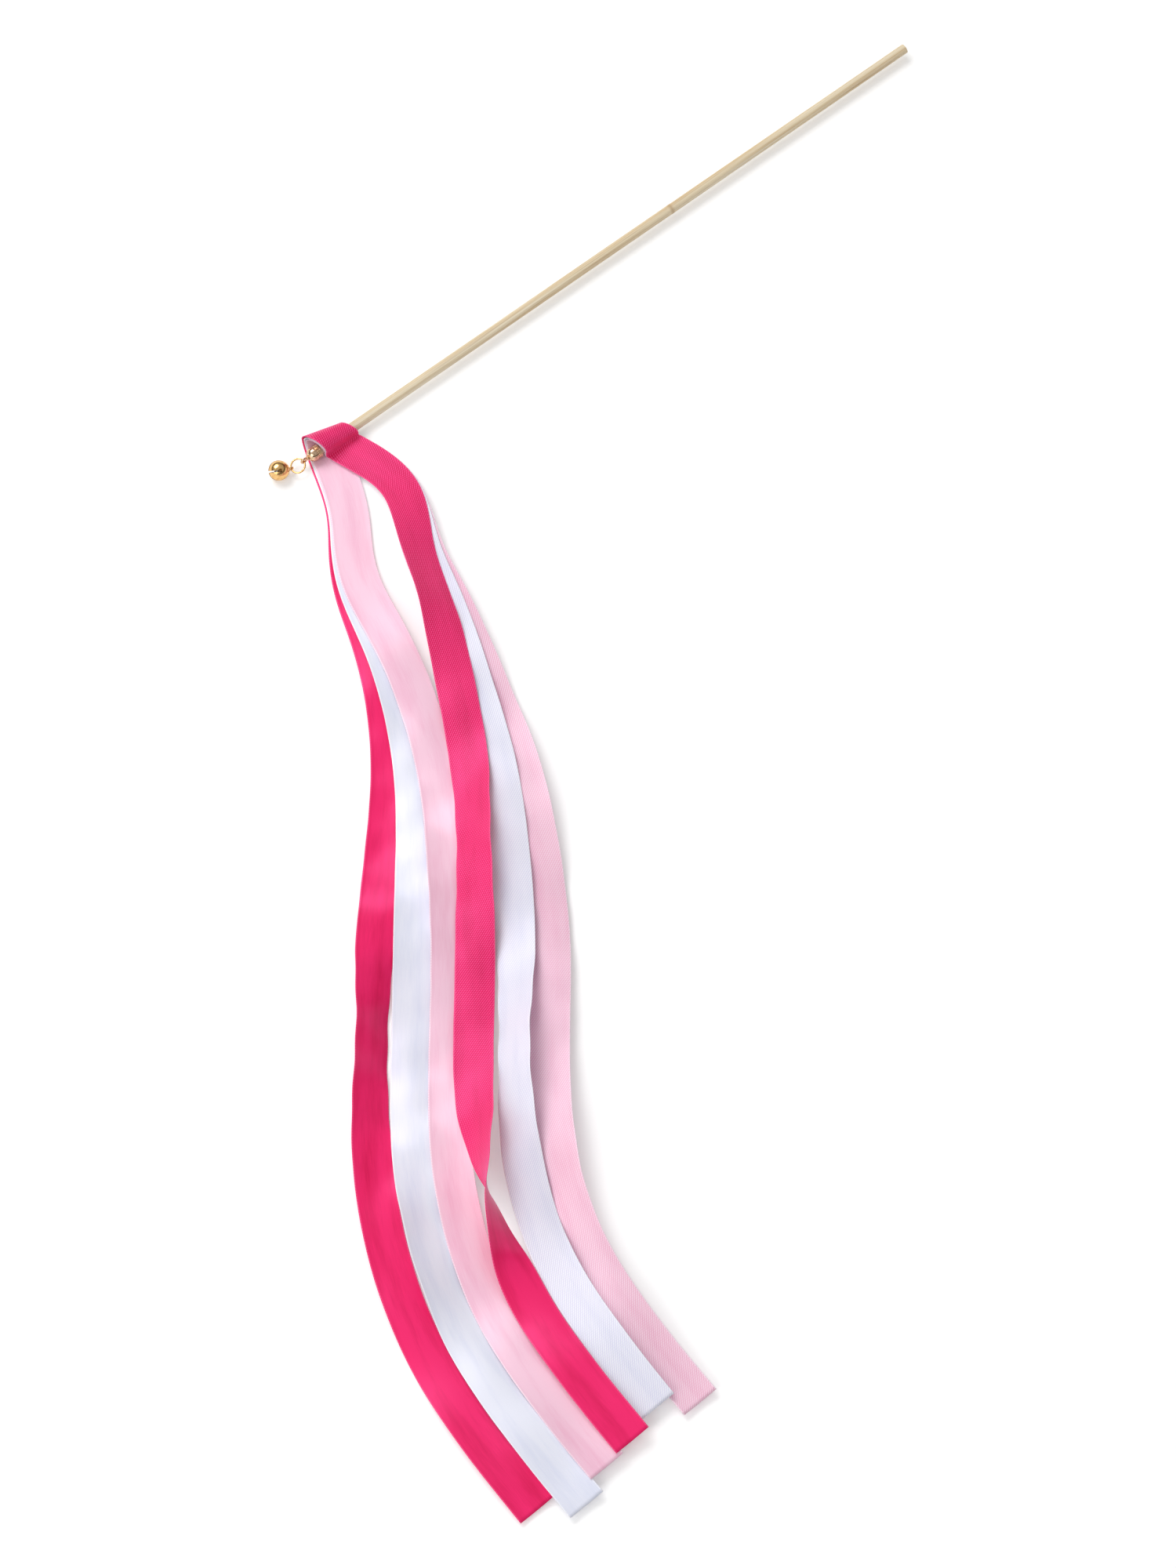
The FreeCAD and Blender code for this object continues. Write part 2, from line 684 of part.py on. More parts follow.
def trace_route(half):
    """Plan points of the middle line of one half's tails, one every ROUTE_STEP, by adding up
    their heading."""
    longest = max(ribbon[half]["length"] for ribbon in RIBBONS)
    points = [sum(START_LINES[half], Vector()) / 2]
    for i in range(int(longest / ROUTE_STEP) + 2):
        onward = plan_direction(heading((i + 0.5) * ROUTE_STEP, half))
        points.append(points[-1] + onward * ROUTE_STEP)
    return points


ROUTES = {half: trace_route(half) for half in START_LINES}
RUN = plan_direction(-90 - mm("tail_run"))
RUN_SIDE = plan_direction(-mm("tail_run"))


def wave_height(place, half):
    """Height of the tails over the flat at a place in plan: long oblique waves, and an arch
    that only the upper tails make where they leave the sleeve."""
    onward = (place - ROUTES["lower"][0]).dot(RUN)
    beside = (place - ROUTES["lower"][0]).dot(RUN_SIDE)
    rise = mm("tail_wave") * progress("waves", onward) * (1 - CALM * progress("calming", onward))
    crosswise = onward - mm("tail_wave_start") + WAVE_SLANT * beside
    phase = 2 * math.pi * crosswise / mm("tail_wave_length")
    arch = mm("tail_arch") * hump(onward, ARCH_MIDDLE, ARCH_HALF) if half == "upper" else 0.0
    return rise * (1 - math.cos(phase)) / 2 + arch


def tail_section(tail, half, rank, along):
    """The two edges of one tail at a distance from its start."""
    layer = 0.5 + rank if half == "upper" else -0.5 - rank
    index = int(along / ROUTE_STEP)
    route = ROUTES[half]
    on_route = route[index] + (route[index + 1] - route[index]) * (along / ROUTE_STEP - index)
    side = plan_direction(heading(along, half) + 90)
    place = on_route + inset(half, rank) + side * (tail["fan"] * progress("fan", along))
    rise = wave_height(place + side / 2, half) - wave_height(place - side / 2, half)
    roll = math.radians(sum(a * hump(along, middle, extent) for middle, extent, a in tail["rolls"]))
    if tail["flip"]:
        roll += math.pi * smooth(along, *tail["flip"])
    lift = WIDTH / 2 * (math.hypot(math.sin(roll), EDGE_REST) - EDGE_REST)
    loose = (layer - LOWEST_LAYER) * mm("tail_loosening") * progress("loosening", along)
    height = STACK_MIDDLE + layer * LAYER_PITCH + wave_height(place, half) + lift + loose
    tilt = roll + math.atan(rise)
    across = (side * math.cos(tilt) + Vector(0, 0, math.sin(tilt))) * (WIDTH / 2)
    middle = place + Vector(0, 0, height)
    return middle - across, middle + across


def tail_sections(tail, half, rank):
    count = int(tail["length"] / TAIL_STEP - 0.5)
    stations = [GLUE_END] + [TAIL_STEP * i for i in range(1, count + 1)] + [tail["length"]]
    return [tail_section(tail, half, rank, along) for along in stations]


def fold_line(edge, corner, rank):
    """One edge of the folded sleeve: from its corner of the upper tail along the flat, up the
    near side of the stick, over it, round the far side and back under it to the lower tail."""
    nearest = (mm("stick_diameter") + mm("ribbon_thickness")) / 2 + mm("stick_gap")
    bend = mm("corner_radius") - rank * LAYER_PITCH
    bend_y = -nearest - mm("corner_radius")
    bend_z = STACK_MIDDLE + LAYER_PITCH / 2 + mm("corner_radius")
    bottom = FOLD_BOTTOM - rank * LAYER_PITCH
    outer = edge["radius"] + rank * edge["step"]
    last = math.radians(edge["crest"])
    starts = {half: START_LINES[half][corner] + inset(half, rank) for half in START_LINES}

    upper = [(starts["upper"].y, bend_z - bend)]
    for i in range(CORNER_STEPS + 1):
        angle = math.pi / 2 * (i / CORNER_STEPS - 1)
        upper.append((bend_y + bend * math.cos(angle), bend_z + bend * math.sin(angle)))
    beside = Vector(-nearest - rank * LAYER_PITCH, 0, 0)
    crest = Vector(edge["shift"] + outer * math.cos(last), bottom + outer + outer * math.sin(last), 0)
    falling = Vector(-math.sin(last), math.cos(last), 0)
    handle = (beside - crest).Length * RISE_PULL
    ends = [beside, beside + Vector(0, handle, 0), crest + falling * handle, crest]
    for i in range(RISE_STEPS):
        t = i / RISE_STEPS
        weights = [(1 - t) ** 3, 3 * t * (1 - t) ** 2, 3 * t * t * (1 - t), t**3]
        point = sum((e * w for e, w in zip(ends, weights)), Vector())
        upper.append((point.x, point.y))
    lower = []
    for i in range(ARC_STEPS + 1):
        angle = last - (last + math.pi / 2) * i / ARC_STEPS
        half = upper if angle >= 0 else lower
        half.append((edge["shift"] + outer * math.cos(angle), bottom + outer + outer * math.sin(angle)))
    lower.append(((edge["shift"] + starts["lower"].y) / 2, bottom))
    lower.append((starts["lower"].y, bottom))

    far_x = edge["far_x"] + (inset("upper", rank) + inset("lower", rank)).x / 2
    far_y = edge["shift"] + outer
    points = []
    for half, row in (("upper", upper), ("lower", lower)):
        slope = (starts[half].x - far_x) / (far_y - starts[half].y)
        points += [Vector(far_x + slope * (far_y - y), y, z) for y, z in row]
    return points


def sleeve_sections(rank):
    return list(zip(fold_line(MOUTH, 0, rank), fold_line(NECK, 1, rank)))


def flat_facets(corners, mirrored=False):
    """Two flat triangles between four corners taken in order round a field. They meet on the
    line from the first corner to the third, or on the other one where mirrored."""
    first, second, third, fourth = corners[1:] + corners[:1] if mirrored else corners
    return [
        Part.Face(Part.makePolygon([first, second, third, first])),
        Part.Face(Part.makePolygon([first, third, fourth, first])),
    ]


def strip_solid(sections, inward):
    """A closed strip of even thickness through pairs of points on its two edges.

    Its fields fold on the same line above and below. In the first tail, whose sections run
    inward, that line is mirrored, so that it lies over the fold lines of the tail beneath.
    """
    middles = [(left + right) / 2 for left, right in sections]
    last = len(sections) - 1
    rings = []
    for i, (left, right) in enumerate(sections):
        onward = middles[min(i + 1, last)] - middles[max(i - 1, 0)]
        face = (right - left).cross(onward).normalize() * (mm("ribbon_thickness") / 2)
        rings.append((left - face, right - face, right + face, left + face))
    faces = flat_facets(rings[0][::-1]) + flat_facets(rings[-1])
    for station, (here, there) in enumerate(zip(rings, rings[1:])):
        for i in range(4):
            beside = (i + 1) % 4
            field = (here[i], here[beside], there[beside], there[i])
            faces += flat_facets(field, mirrored=(i == 2) != (station < inward))
    shell = Part.makeShell(faces)
    shell.sewShape()
    solid = Part.Solid(shell)
    if solid.Volume < 0:
        solid.reverse()
    length = sum((after - before).Length for before, after in zip(middles, middles[1:]))
    return solid, length


def make_ribbon(rank, ribbon):
    """One ribbon from cut end to cut end: upper tail, sleeve round the stick, lower tail."""
    upper = tail_sections(ribbon["upper"], "upper", rank)
    lower = tail_sections(ribbon["lower"], "lower", rank)
    sections = upper[::-1] + sleeve_sections(rank) + lower
    solid, length = strip_solid(sections, len(upper))
    item = doc.addObject("Part::Feature", ribbon["node"])
    item.Label = ribbon["node"]
    item.Shape = solid
    item.Placement = FreeCAD.Placement()
    print(ribbon["node"], "cut length", round(length, 1))


def make_sleeve_glue():
    """The glue lines that close the fold: one thin pad between each two ribbon layers."""
    pads = []
    gap = size("layer_pitch") - size("ribbon_thickness")
    level = (size("layer_pitch") - size("cap_diameter") - size("ribbon_thickness")) / 2
    for i in range(-2, 3):
        pad = doc.addObject("Part::Box", f"GluePad{i + 3}")
        pad.setExpression("Length", size("glue_length").formula)
        pad.setExpression("Width", size("glue_line").formula)
        pad.setExpression("Height", gap.formula)
        place(
            pad,
            x=CAP_RIM + size("glue_start"),
            y=-(size("pinch_reach")) - size("glue_line") - size("glue_margin"),
            z=level - size("stick_gap") + size("layer_pitch") * i - gap / 2,
        )
        pads.append(pad)
    glue = doc.addObject("Part::Compound", "sleeve_glue")
    glue.Label = "sleeve_glue"
    glue.Links = pads


def make_stick_glue():
    """The bead of glue between the stick and the flat run of the innermost ribbon."""
    depth = (size("cap_diameter") - size("stick_diameter")) / 2 + size("stick_gap")
    bead = doc.addObject("Part::Box", "GlueBead")
    bead.setExpression("Length", size("bead_length").formula)
    bead.setExpression("Width", size("bead_width").formula)
    bead.setExpression("Height", (depth + size("bead_climb")).formula)
    place(
        bead,
        x=CAP_RIM + size("bead_start"),
        y=-(size("bead_width")),
        z=-(size("cap_diameter") / 2) - size("stick_gap"),
    )
    stick = doc.addObject("Part::Cylinder", "StickSpace")
    stick.setExpression("Radius", (size("stick_diameter") / 2).formula)
    stick.setExpression("Height", size("stick_length").formula)
    stick.Placement = FreeCAD.Placement(Vector(), FreeCAD.Rotation(Vector(0, 1, 0), -90))
    glue = doc.addObject("Part::Cut", "stick_glue")
    glue.Label = "stick_glue"
    glue.Base = bead
    glue.Tool = stick


# ---------------------------------------------------------------- the wand

make_stick()
make_end_cap()
make_cap_glue()
hang_bell(make_jump_ring(), make_bell_shell(), make_bell_loop(), make_pellet())
for rank, ribbon in enumerate(RIBBONS):
    make_ribbon(rank, ribbon)
make_sleeve_glue()
make_stick_glue()
doc.recompute()

NODES = [
    "stick", "end_cap", "cap_glue", "stick_glue", "sleeve_glue",
    "ribbon_pale_pink", "ribbon_white", "ribbon_hot_pink",
    "jump_ring", "bell_shell", "bell_loop", "bell_pellet",
]

for item in doc.Objects:
    if {"Invalid", "Error"} & set(item.State):
        raise RuntimeError(f"{item.Label} failed: {item.State}")

os.makedirs("parts", exist_ok=True)
for label in NODES:
    shape = doc.getObjectsByLabel(label)[0].Shape
    if shape.isNull() or not shape.isValid():
        raise RuntimeError(f"{label} has no valid shape")
    shape.exportStep(f"parts/{label}.step")
    box = shape.BoundBox
    print(
        f"{label:18s} {len(shape.Solids)} solid(s) {shape.Volume:9.3f} mm3 ",
        f"x {box.XMin:.2f} {box.XMax:.2f}  y {box.YMin:.2f} {box.YMax:.2f}",
        f"z {box.ZMin:.2f} {box.ZMax:.2f}",
    )
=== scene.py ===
import math

import bpy
import numpy as np
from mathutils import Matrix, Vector


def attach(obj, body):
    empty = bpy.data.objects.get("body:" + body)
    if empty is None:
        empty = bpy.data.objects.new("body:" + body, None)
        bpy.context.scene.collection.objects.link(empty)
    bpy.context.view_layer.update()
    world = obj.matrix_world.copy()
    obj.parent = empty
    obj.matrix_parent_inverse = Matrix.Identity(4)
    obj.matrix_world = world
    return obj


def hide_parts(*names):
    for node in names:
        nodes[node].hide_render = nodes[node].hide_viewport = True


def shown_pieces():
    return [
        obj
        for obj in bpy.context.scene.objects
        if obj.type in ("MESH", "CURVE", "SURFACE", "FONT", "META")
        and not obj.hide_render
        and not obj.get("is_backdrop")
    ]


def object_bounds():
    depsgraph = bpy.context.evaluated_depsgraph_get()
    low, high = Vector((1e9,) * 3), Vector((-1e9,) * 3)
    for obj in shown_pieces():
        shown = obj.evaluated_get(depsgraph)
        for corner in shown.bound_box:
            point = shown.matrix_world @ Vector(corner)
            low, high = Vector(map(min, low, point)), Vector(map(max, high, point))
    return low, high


# Ribbon wand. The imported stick, cap, ring and bell keep their shape and get their finish here.
# The three ribbons are built as curved satin strips that take the place of their plain solids.
# Lengths in the dictionaries are millimetres in the wand's own frame: origin at the centre of
# the stick's handle end, +X out of that end, +Z up, ribbon tails on the -Y side.

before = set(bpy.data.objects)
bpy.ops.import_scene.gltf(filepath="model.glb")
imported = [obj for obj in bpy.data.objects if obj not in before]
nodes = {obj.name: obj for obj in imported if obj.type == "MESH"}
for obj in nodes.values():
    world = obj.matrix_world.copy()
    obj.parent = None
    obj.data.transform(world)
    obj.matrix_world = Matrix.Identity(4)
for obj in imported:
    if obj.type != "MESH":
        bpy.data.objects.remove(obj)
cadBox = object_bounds()
milli = 0.001  # metres


def linear(hexCode):
    # sRGB hex to the linear colour that a shader takes
    levels = [int(hexCode[i:i + 2], 16) / 255 for i in (1, 3, 5)]
    return [c / 12.92 if c <= 0.04045 else ((c + 0.055) / 1.055) ** 2.4 for c in levels] + [1.0]


def addNode(tree, kind, settings=None, stops=None, **inputs):
    # adds one node; an input given a socket is linked, and any other value is set on it. in0, in1
    # and so on are inputs by number; stops are the (place, colour) pairs of a colour ramp
    node = tree.nodes.new(kind)
    for name, value in (settings or {}).items():
        setattr(node, name, value)
    if stops:
        ramp = node.color_ramp.elements
        while len(ramp) < len(stops):
            ramp.new(0.5)
        for element, (place, colour) in zip(ramp, stops):
            element.position = place
            element.color = linear(colour) if isinstance(colour, str) else colour
    for name, value in inputs.items():
        socket = node.inputs[int(name[2:]) if name.startswith("in") else name.replace("_", " ")]
        if isinstance(value, bpy.types.NodeSocket):
            tree.links.new(value, socket)
        else:
            socket.default_value = value
    return node


def newMaterial(name):
    # an empty material with one shader, joined to its output
    material = bpy.data.materials.new(name)
    material.use_nodes = True
    tree = material.node_tree
    tree.nodes.clear()
    shader = addNode(tree, "ShaderNodeBsdfPrincipled")
    addNode(tree, "ShaderNodeOutputMaterial", Surface=shader.outputs[0])
    return material, tree, shader


def dress(nodeName, material):
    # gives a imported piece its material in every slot
    node = nodes[nodeName]
    if not node.material_slots:
        node.data.materials.append(material)
    for materialSlot in node.material_slots:
        materialSlot.material = material


def smooth(value, start, end):
    # 0 before start, 1 after end, and an S-shaped rise between: three times the square of the
    # share of the way, less twice its cube
    share = np.clip((value - start) / (end - start), 0.0, 1.0)
    return share * share * (3 - 2 * share)


def hump(value, middle, half):
    # a rounded hump: a squared cosine, 1 in the middle and 0 at half to each side
    share = np.clip((value - middle) / half, -1.0, 1.0)
    return np.cos(np.pi / 2 * share) ** 2


# Bamboo: split, planed round and sanded, so it shows long straight fibres in straw and tan

bamboo = {
    "pale": "#eee2cb",
    "straw": "#e2d0ae",
    "tan": "#ccab7a",
    "fibre": "#aa8250",
    "fibreWidth": 0.35,  # mm across one streak
    "fibreLength": 45.0,  # mm along it
    "bandWidth": 6.25,  # broad bands, as multiples of a streak's width and length
    "bandLength": 1 / 0.35,
    "growthRing": -121.0,  # mm, where the dark ring lies
    "growthRingWidth": 2.4,
    "growthRingDepth": 0.55,  # share of the fibre colour in the ring's middle
    "rough": (0.62, 0.45),  # in the dark streaks and in the pale ones
    "relief": 0.00006,  # metres
    "reliefStrength": 0.25,
}


def bambooMaterial():
    # fine streaks over broad bands, both stretched along X, and the growth ring across them
    material, tree, shader = newMaterial("bamboo")
    place = addNode(tree, "ShaderNodeTexCoord").outputs["Object"]
    across, along = 1000 / bamboo["fibreWidth"], 1000 / bamboo["fibreLength"]
    fibres = addNode(tree, "ShaderNodeMapping", Vector=place, Scale=(along, across, across))
    streaks = addNode(tree, "ShaderNodeTexNoise", Vector=fibres.outputs[0],
                      Scale=1.0, Detail=3.0, Roughness=0.6)
    bands = addNode(tree, "ShaderNodeMapping", Vector=place,
                    Scale=(along / bamboo["bandLength"], across / bamboo["bandWidth"],
                           across / bamboo["bandWidth"]))
    broad = addNode(tree, "ShaderNodeTexNoise", Vector=bands.outputs[0], Scale=1.0, Detail=2.0)
    ground = addNode(tree, "ShaderNodeValToRGB", Fac=broad.outputs["Fac"], stops=[
        (0.34, bamboo["tan"]), (0.5, bamboo["straw"]), (0.62, bamboo["pale"])])
    fine = addNode(tree, "ShaderNodeValToRGB", Fac=streaks.outputs["Fac"], stops=[
        (0.32, bamboo["fibre"]), (0.46, bamboo["straw"]), (0.68, bamboo["pale"])])
    grain = addNode(tree, "ShaderNodeMix", {"data_type": "RGBA"}, in0=0.5,
                    in6=ground.outputs[0], in7=fine.outputs[0])
    # the growth ring is a darker band right round the stick
    split = addNode(tree, "ShaderNodeSeparateXYZ", Vector=place)
    offRing = addNode(tree, "ShaderNodeMath", {"operation": "SUBTRACT"},
                      in0=split.outputs["X"], in1=bamboo["growthRing"] * milli)
    distance = addNode(tree, "ShaderNodeMath", {"operation": "ABSOLUTE"}, in0=offRing.outputs[0])
    ring = addNode(tree, "ShaderNodeMapRange", Value=distance.outputs[0], in1=0.0,
                   in2=bamboo["growthRingWidth"] / 2 * milli,
                   in3=bamboo["growthRingDepth"], in4=0.0)
    colour = addNode(tree, "ShaderNodeMix", {"data_type": "RGBA"}, in0=ring.outputs[0],
                     in6=grain.outputs[2], in7=linear(bamboo["fibre"]))
    tree.links.new(colour.outputs[2], shader.inputs["Base Color"])
    rough = addNode(tree, "ShaderNodeMapRange", Value=streaks.outputs["Fac"],
                    in3=bamboo["rough"][0], in4=bamboo["rough"][1])
    tree.links.new(rough.outputs[0], shader.inputs["Roughness"])
    relief = addNode(tree, "ShaderNodeBump", Height=streaks.outputs["Fac"],
                     Strength=bamboo["reliefStrength"], Distance=bamboo["relief"])
    tree.links.new(relief.outputs[0], shader.inputs["Normal"])
    return material


# grain is the size of the cloudiness in mm, and relief its height in metres
metals = {
    # plated cast zinc: a pale champagne gold with a touch of pink, nearly a mirror
    "plated cast cap": {"colour": "#e6c6a4", "dark": "#b8906c", "rough": 0.1, "grain": 1.1,
                        "relief": 0.00003},
    # plated sheet brass: a warmer yellow gold, softly uneven from stamping
    "gold-plated sheet brass": {"colour": "#ebbf80", "dark": "#cc9852", "rough": 0.17, "grain": 1.6,
                                "relief": 0.00003},
    # plated wire: smooth, so it shows one thin bright line along its length
    "gold-plated wire": {"colour": "#e6ba7e", "dark": "#c48f52", "rough": 0.14, "grain": 0.7,
                         "relief": 0.00001},
    # steel shot: a cool grey glint inside the bell
    "bright steel": {"colour": "#c9c9cc", "dark": "#a2a2a6", "rough": 0.25, "grain": 0.8,
                     "relief": 0.00001},
}


def metalMaterial(name):
    # bright plating with faint cloudiness, and a soft unevenness that breaks up its reflections
    finish = metals[name]
    material, tree, shader = newMaterial(name)
    place = addNode(tree, "ShaderNodeTexCoord").outputs["Object"]
    cloud = addNode(tree, "ShaderNodeTexNoise", Vector=place, Scale=1000 / finish["grain"],
                    Detail=4.0)
    colour = addNode(tree, "ShaderNodeValToRGB", Fac=cloud.outputs["Fac"], stops=[
        (0.3, finish["dark"]), (0.5, finish["colour"])])
    tree.links.new(colour.outputs[0], shader.inputs["Base Color"])
    shader.inputs["Metallic"].default_value = 1.0
    rough = addNode(tree, "ShaderNodeMapRange", Value=cloud.outputs["Fac"], in1=0.3, in2=0.7,
                    in3=finish["rough"] + 0.1, in4=finish["rough"])
    tree.links.new(rough.outputs[0], shader.inputs["Roughness"])
    relief = addNode(tree, "ShaderNodeBump", Height=cloud.outputs["Fac"],
                     Strength=0.35, Distance=finish["relief"])
    tree.links.new(relief.outputs[0], shader.inputs["Normal"])
    return material


hotMelt = {
    "dark": "#d9d3bd",
    "pale": "#efecdf",
    "cloud": 900.0,  # patches per metre
    "rough": 0.3,
    "seeIn": 0.2,  # share of the light that goes in
    "depth": 0.0006,  # metres that it goes
}


def glueMaterial():
    # hot-melt glue: milky and smooth, with light that sinks in a little way
    material, tree, shader = newMaterial("hot-melt glue")
    place = addNode(tree, "ShaderNodeTexCoord").outputs["Object"]
    cloud = addNode(tree, "ShaderNodeTexNoise", Vector=place, Scale=hotMelt["cloud"], Detail=3.0)
    colour = addNode(tree, "ShaderNodeValToRGB", Fac=cloud.outputs["Fac"], stops=[
        (0.35, hotMelt["dark"]), (0.65, hotMelt["pale"])])
    tree.links.new(colour.outputs[0], shader.inputs["Base Color"])
    shader.inputs["Roughness"].default_value = hotMelt["rough"]
    shader.inputs["Subsurface Weight"].default_value = hotMelt["seeIn"]
    shader.inputs["Subsurface Scale"].default_value = hotMelt["depth"]
    return material


print("materials for the packed pieces")
dress("stick", bambooMaterial())
dress("end_cap", metalMaterial("plated cast cap"))
dress("bell_shell", metalMaterial("gold-plated sheet brass"))
wire = metalMaterial("gold-plated wire")
dress("jump_ring", wire)
dress("bell_loop", wire)
dress("bell_pellet", metalMaterial("bright steel"))
glue = glueMaterial()
for glueNode in ("cap_glue", "stick_glue", "sleeve_glue"):
    dress(glueNode, glue)


# Satin ribbon: a fine dotted twill on the side that is outside in the fold, so that side is a
# little matt; long smooth threads on the inside, so that one is sleek; and woven edges

satin = {
    "twillPitch": 0.75,  # mm between twill lines; the real ones are about 0.6, too fine to show
    "twillAngle": 57.0,  # degrees from square across the ribbon
    "dashPitch": 0.8,  # mm between the dashes that a twill line is made of
    "selvedge": 0.45,  # mm, width of the woven edge
    "loopPitch": 1.0,  # mm between the selvedge's bright thread loops
    "threads": (150.0, 3600.0, 1.0),  # lengthwise threads: patches per metre along and across
    "threadHeight": 0.4,  # of the sleek side's threads, as a share of the twill's
    "drift": (22.0, 150.0, 1.0),  # slow unevenness, likewise
    "twillRough": 0.42,
    "smoothRough": 0.33,
    "paintedHighlight": 0.6,  # share of the painted highlight colour on top of a thread
    "gap": 0.5,  # share of the painted shade colour in the gap between two threads
    "relief": 0.00006,  # metres
    "reliefStrength": 0.45,
    "anisotropic": 0.6,  # the highlight is drawn out along the threads
    "specular": 0.8,
    "sheenRough": 0.35,
}

# after colour and shade come a painted highlight for the top of a thread and painted shade for the
# gap beside it; edge is the selvedge
ribbonColours = {
    "white": {"colour": "#eef0fc", "shade": "#dfe3f5", "paintedHighlight": "#f9f8ff", "gap": "#d3cbe8",
              "edge": "#f8f8ff", "sheen": "#f3efff", "sheenWeight": 0.2},
    "palePink": {"colour": "#fbcfe2", "shade": "#f3b8d1", "paintedHighlight": "#ffe6f2", "gap": "#e79dbd",
                 "edge": "#ffeaf5", "sheen": "#ffe3f4", "sheenWeight": 0.3},
    "hotPink": {"colour": "#f9276b", "shade": "#e01552", "paintedHighlight": "#ff76b6", "gap": "#ca0f47",
                "edge": "#ff6598", "sheen": "#ff8ad2", "sheenWeight": 0.6},
}


def lines(tree, place, pitch, distortion):
    # soft parallel lines across X, one every pitch millimetres
    wave = addNode(tree, "ShaderNodeTexWave", {"bands_direction": "X"}, Vector=place,
                   Scale=math.pi / 10 * 1000 / pitch, Distortion=distortion, Detail=1.0)
    return wave.outputs["Fac"]


def satinMaterial(name, tint):
    # reads the cloth's own map, in metres along and across, and which side lies inside the fold
    material, tree, shader = newMaterial(name)
    cloth = addNode(tree, "ShaderNodeUVMap", {"uv_map": "cloth"}).outputs[0]
    inside = addNode(tree, "ShaderNodeAttribute", {"attribute_name": "inside"}).outputs["Fac"]
    # twill: diagonal lines broken into dashes
    diagonal = addNode(tree, "ShaderNodeMapping", Vector=cloth,
                       Rotation=(0, 0, math.radians(satin["twillAngle"]))).outputs[0]
    ridges = lines(tree, diagonal, satin["twillPitch"], 0.4)
    dashes = addNode(tree, "ShaderNodeMapRange", Value=lines(tree, cloth, satin["dashPitch"], 0.6),
                     in3=0.5, in4=1.0)
    twill = addNode(tree, "ShaderNodeMath", {"operation": "MULTIPLY"}, in0=ridges,
                    in1=dashes.outputs[0])
    # fine lengthwise threads
    stretched = addNode(tree, "ShaderNodeMapping", Vector=cloth, Scale=satin["threads"])
    threads = addNode(tree, "ShaderNodeTexNoise", Vector=stretched.outputs[0], Scale=1.0,
                      Detail=2.0)
    floats = addNode(tree, "ShaderNodeMath", {"operation": "MULTIPLY"},
                     in0=threads.outputs["Fac"], in1=satin["threadHeight"])
    weave = addNode(tree, "ShaderNodeMix", {"data_type": "FLOAT"}, in0=inside,
                    in2=twill.outputs[0], in3=floats.outputs[0])
    # slow unevenness along the ribbon, so the colour isn't one flat tone
    drift = addNode(tree, "ShaderNodeMapping", Vector=cloth, Scale=satin["drift"])
    cloud = addNode(tree, "ShaderNodeTexNoise", Vector=drift.outputs[0], Scale=1.0, Detail=3.0)
    tone = addNode(tree, "ShaderNodeMath", {"operation": "MULTIPLY_ADD"},
                   in0=threads.outputs["Fac"], in1=0.3, in2=cloud.outputs["Fac"])
    body = addNode(tree, "ShaderNodeValToRGB", Fac=tone.outputs[0], stops=[
        (0.42, tint["shade"]), (0.72, tint["colour"])])
    # painted highlight: the top of each twill thread is mixed towards a lighter colour
    paintedHighlight = addNode(tree, "ShaderNodeMapRange", Value=weave.outputs[0], in1=0.3, in2=0.95, in3=0.0,
                    in4=satin["paintedHighlight"])
    cloudAndHighlight = addNode(tree, "ShaderNodeMix", {"data_type": "RGBA"}, in0=paintedHighlight.outputs[0],
                     in6=body.outputs[0], in7=linear(tint["paintedHighlight"]))
    # painted shade: darker gaps between the twill's dashes, and none on the sleek side
    gaps = addNode(tree, "ShaderNodeMapRange", Value=twill.outputs[0], in1=0.0, in2=0.45,
                   in3=satin["gap"], in4=0.0)
    gapShare = addNode(tree, "ShaderNodeMix", {"data_type": "FLOAT"}, in0=inside,
                       in2=gaps.outputs[0], in3=0.0)
    wovenAndShaded = addNode(tree, "ShaderNodeMix", {"data_type": "RGBA"}, in0=gapShare.outputs[0],
                    in6=cloudAndHighlight.outputs[2], in7=linear(tint["gap"]))
    # selvedge: a thin brighter edge with a row of thread loops
    across = addNode(tree, "ShaderNodeSeparateXYZ", Vector=cloth).outputs["Y"]
    offMiddle = addNode(tree, "ShaderNodeMath", {"operation": "ABSOLUTE"}, in0=across)
    inner = (ribbonWidth / 2 - satin["selvedge"]) * milli
    edge = addNode(tree, "ShaderNodeMapRange", Value=offMiddle.outputs[0], in1=inner,
                   in2=inner + 0.1 * milli)
    loops = addNode(tree, "ShaderNodeMapRange", Value=lines(tree, cloth, satin["loopPitch"], 0.0),
                    in3=0.25, in4=0.8)
    edgeShare = addNode(tree, "ShaderNodeMath", {"operation": "MULTIPLY"},
                        in0=edge.outputs[0], in1=loops.outputs[0])
    colour = addNode(tree, "ShaderNodeMix", {"data_type": "RGBA"}, in0=edgeShare.outputs[0],
                     in6=wovenAndShaded.outputs[2], in7=linear(tint["edge"]))
    tree.links.new(colour.outputs[2], shader.inputs["Base Color"])
    rough = addNode(tree, "ShaderNodeMapRange", Value=inside, in3=satin["twillRough"],
                    in4=satin["smoothRough"])
    tree.links.new(rough.outputs[0], shader.inputs["Roughness"])
    height = addNode(tree, "ShaderNodeMath", {"operation": "ADD"}, in0=weave.outputs[0],
                     in1=edgeShare.outputs[0])
    relief = addNode(tree, "ShaderNodeBump", Height=height.outputs[0],
                     Strength=satin["reliefStrength"], Distance=satin["relief"])
    tree.links.new(relief.outputs[0], shader.inputs["Normal"])
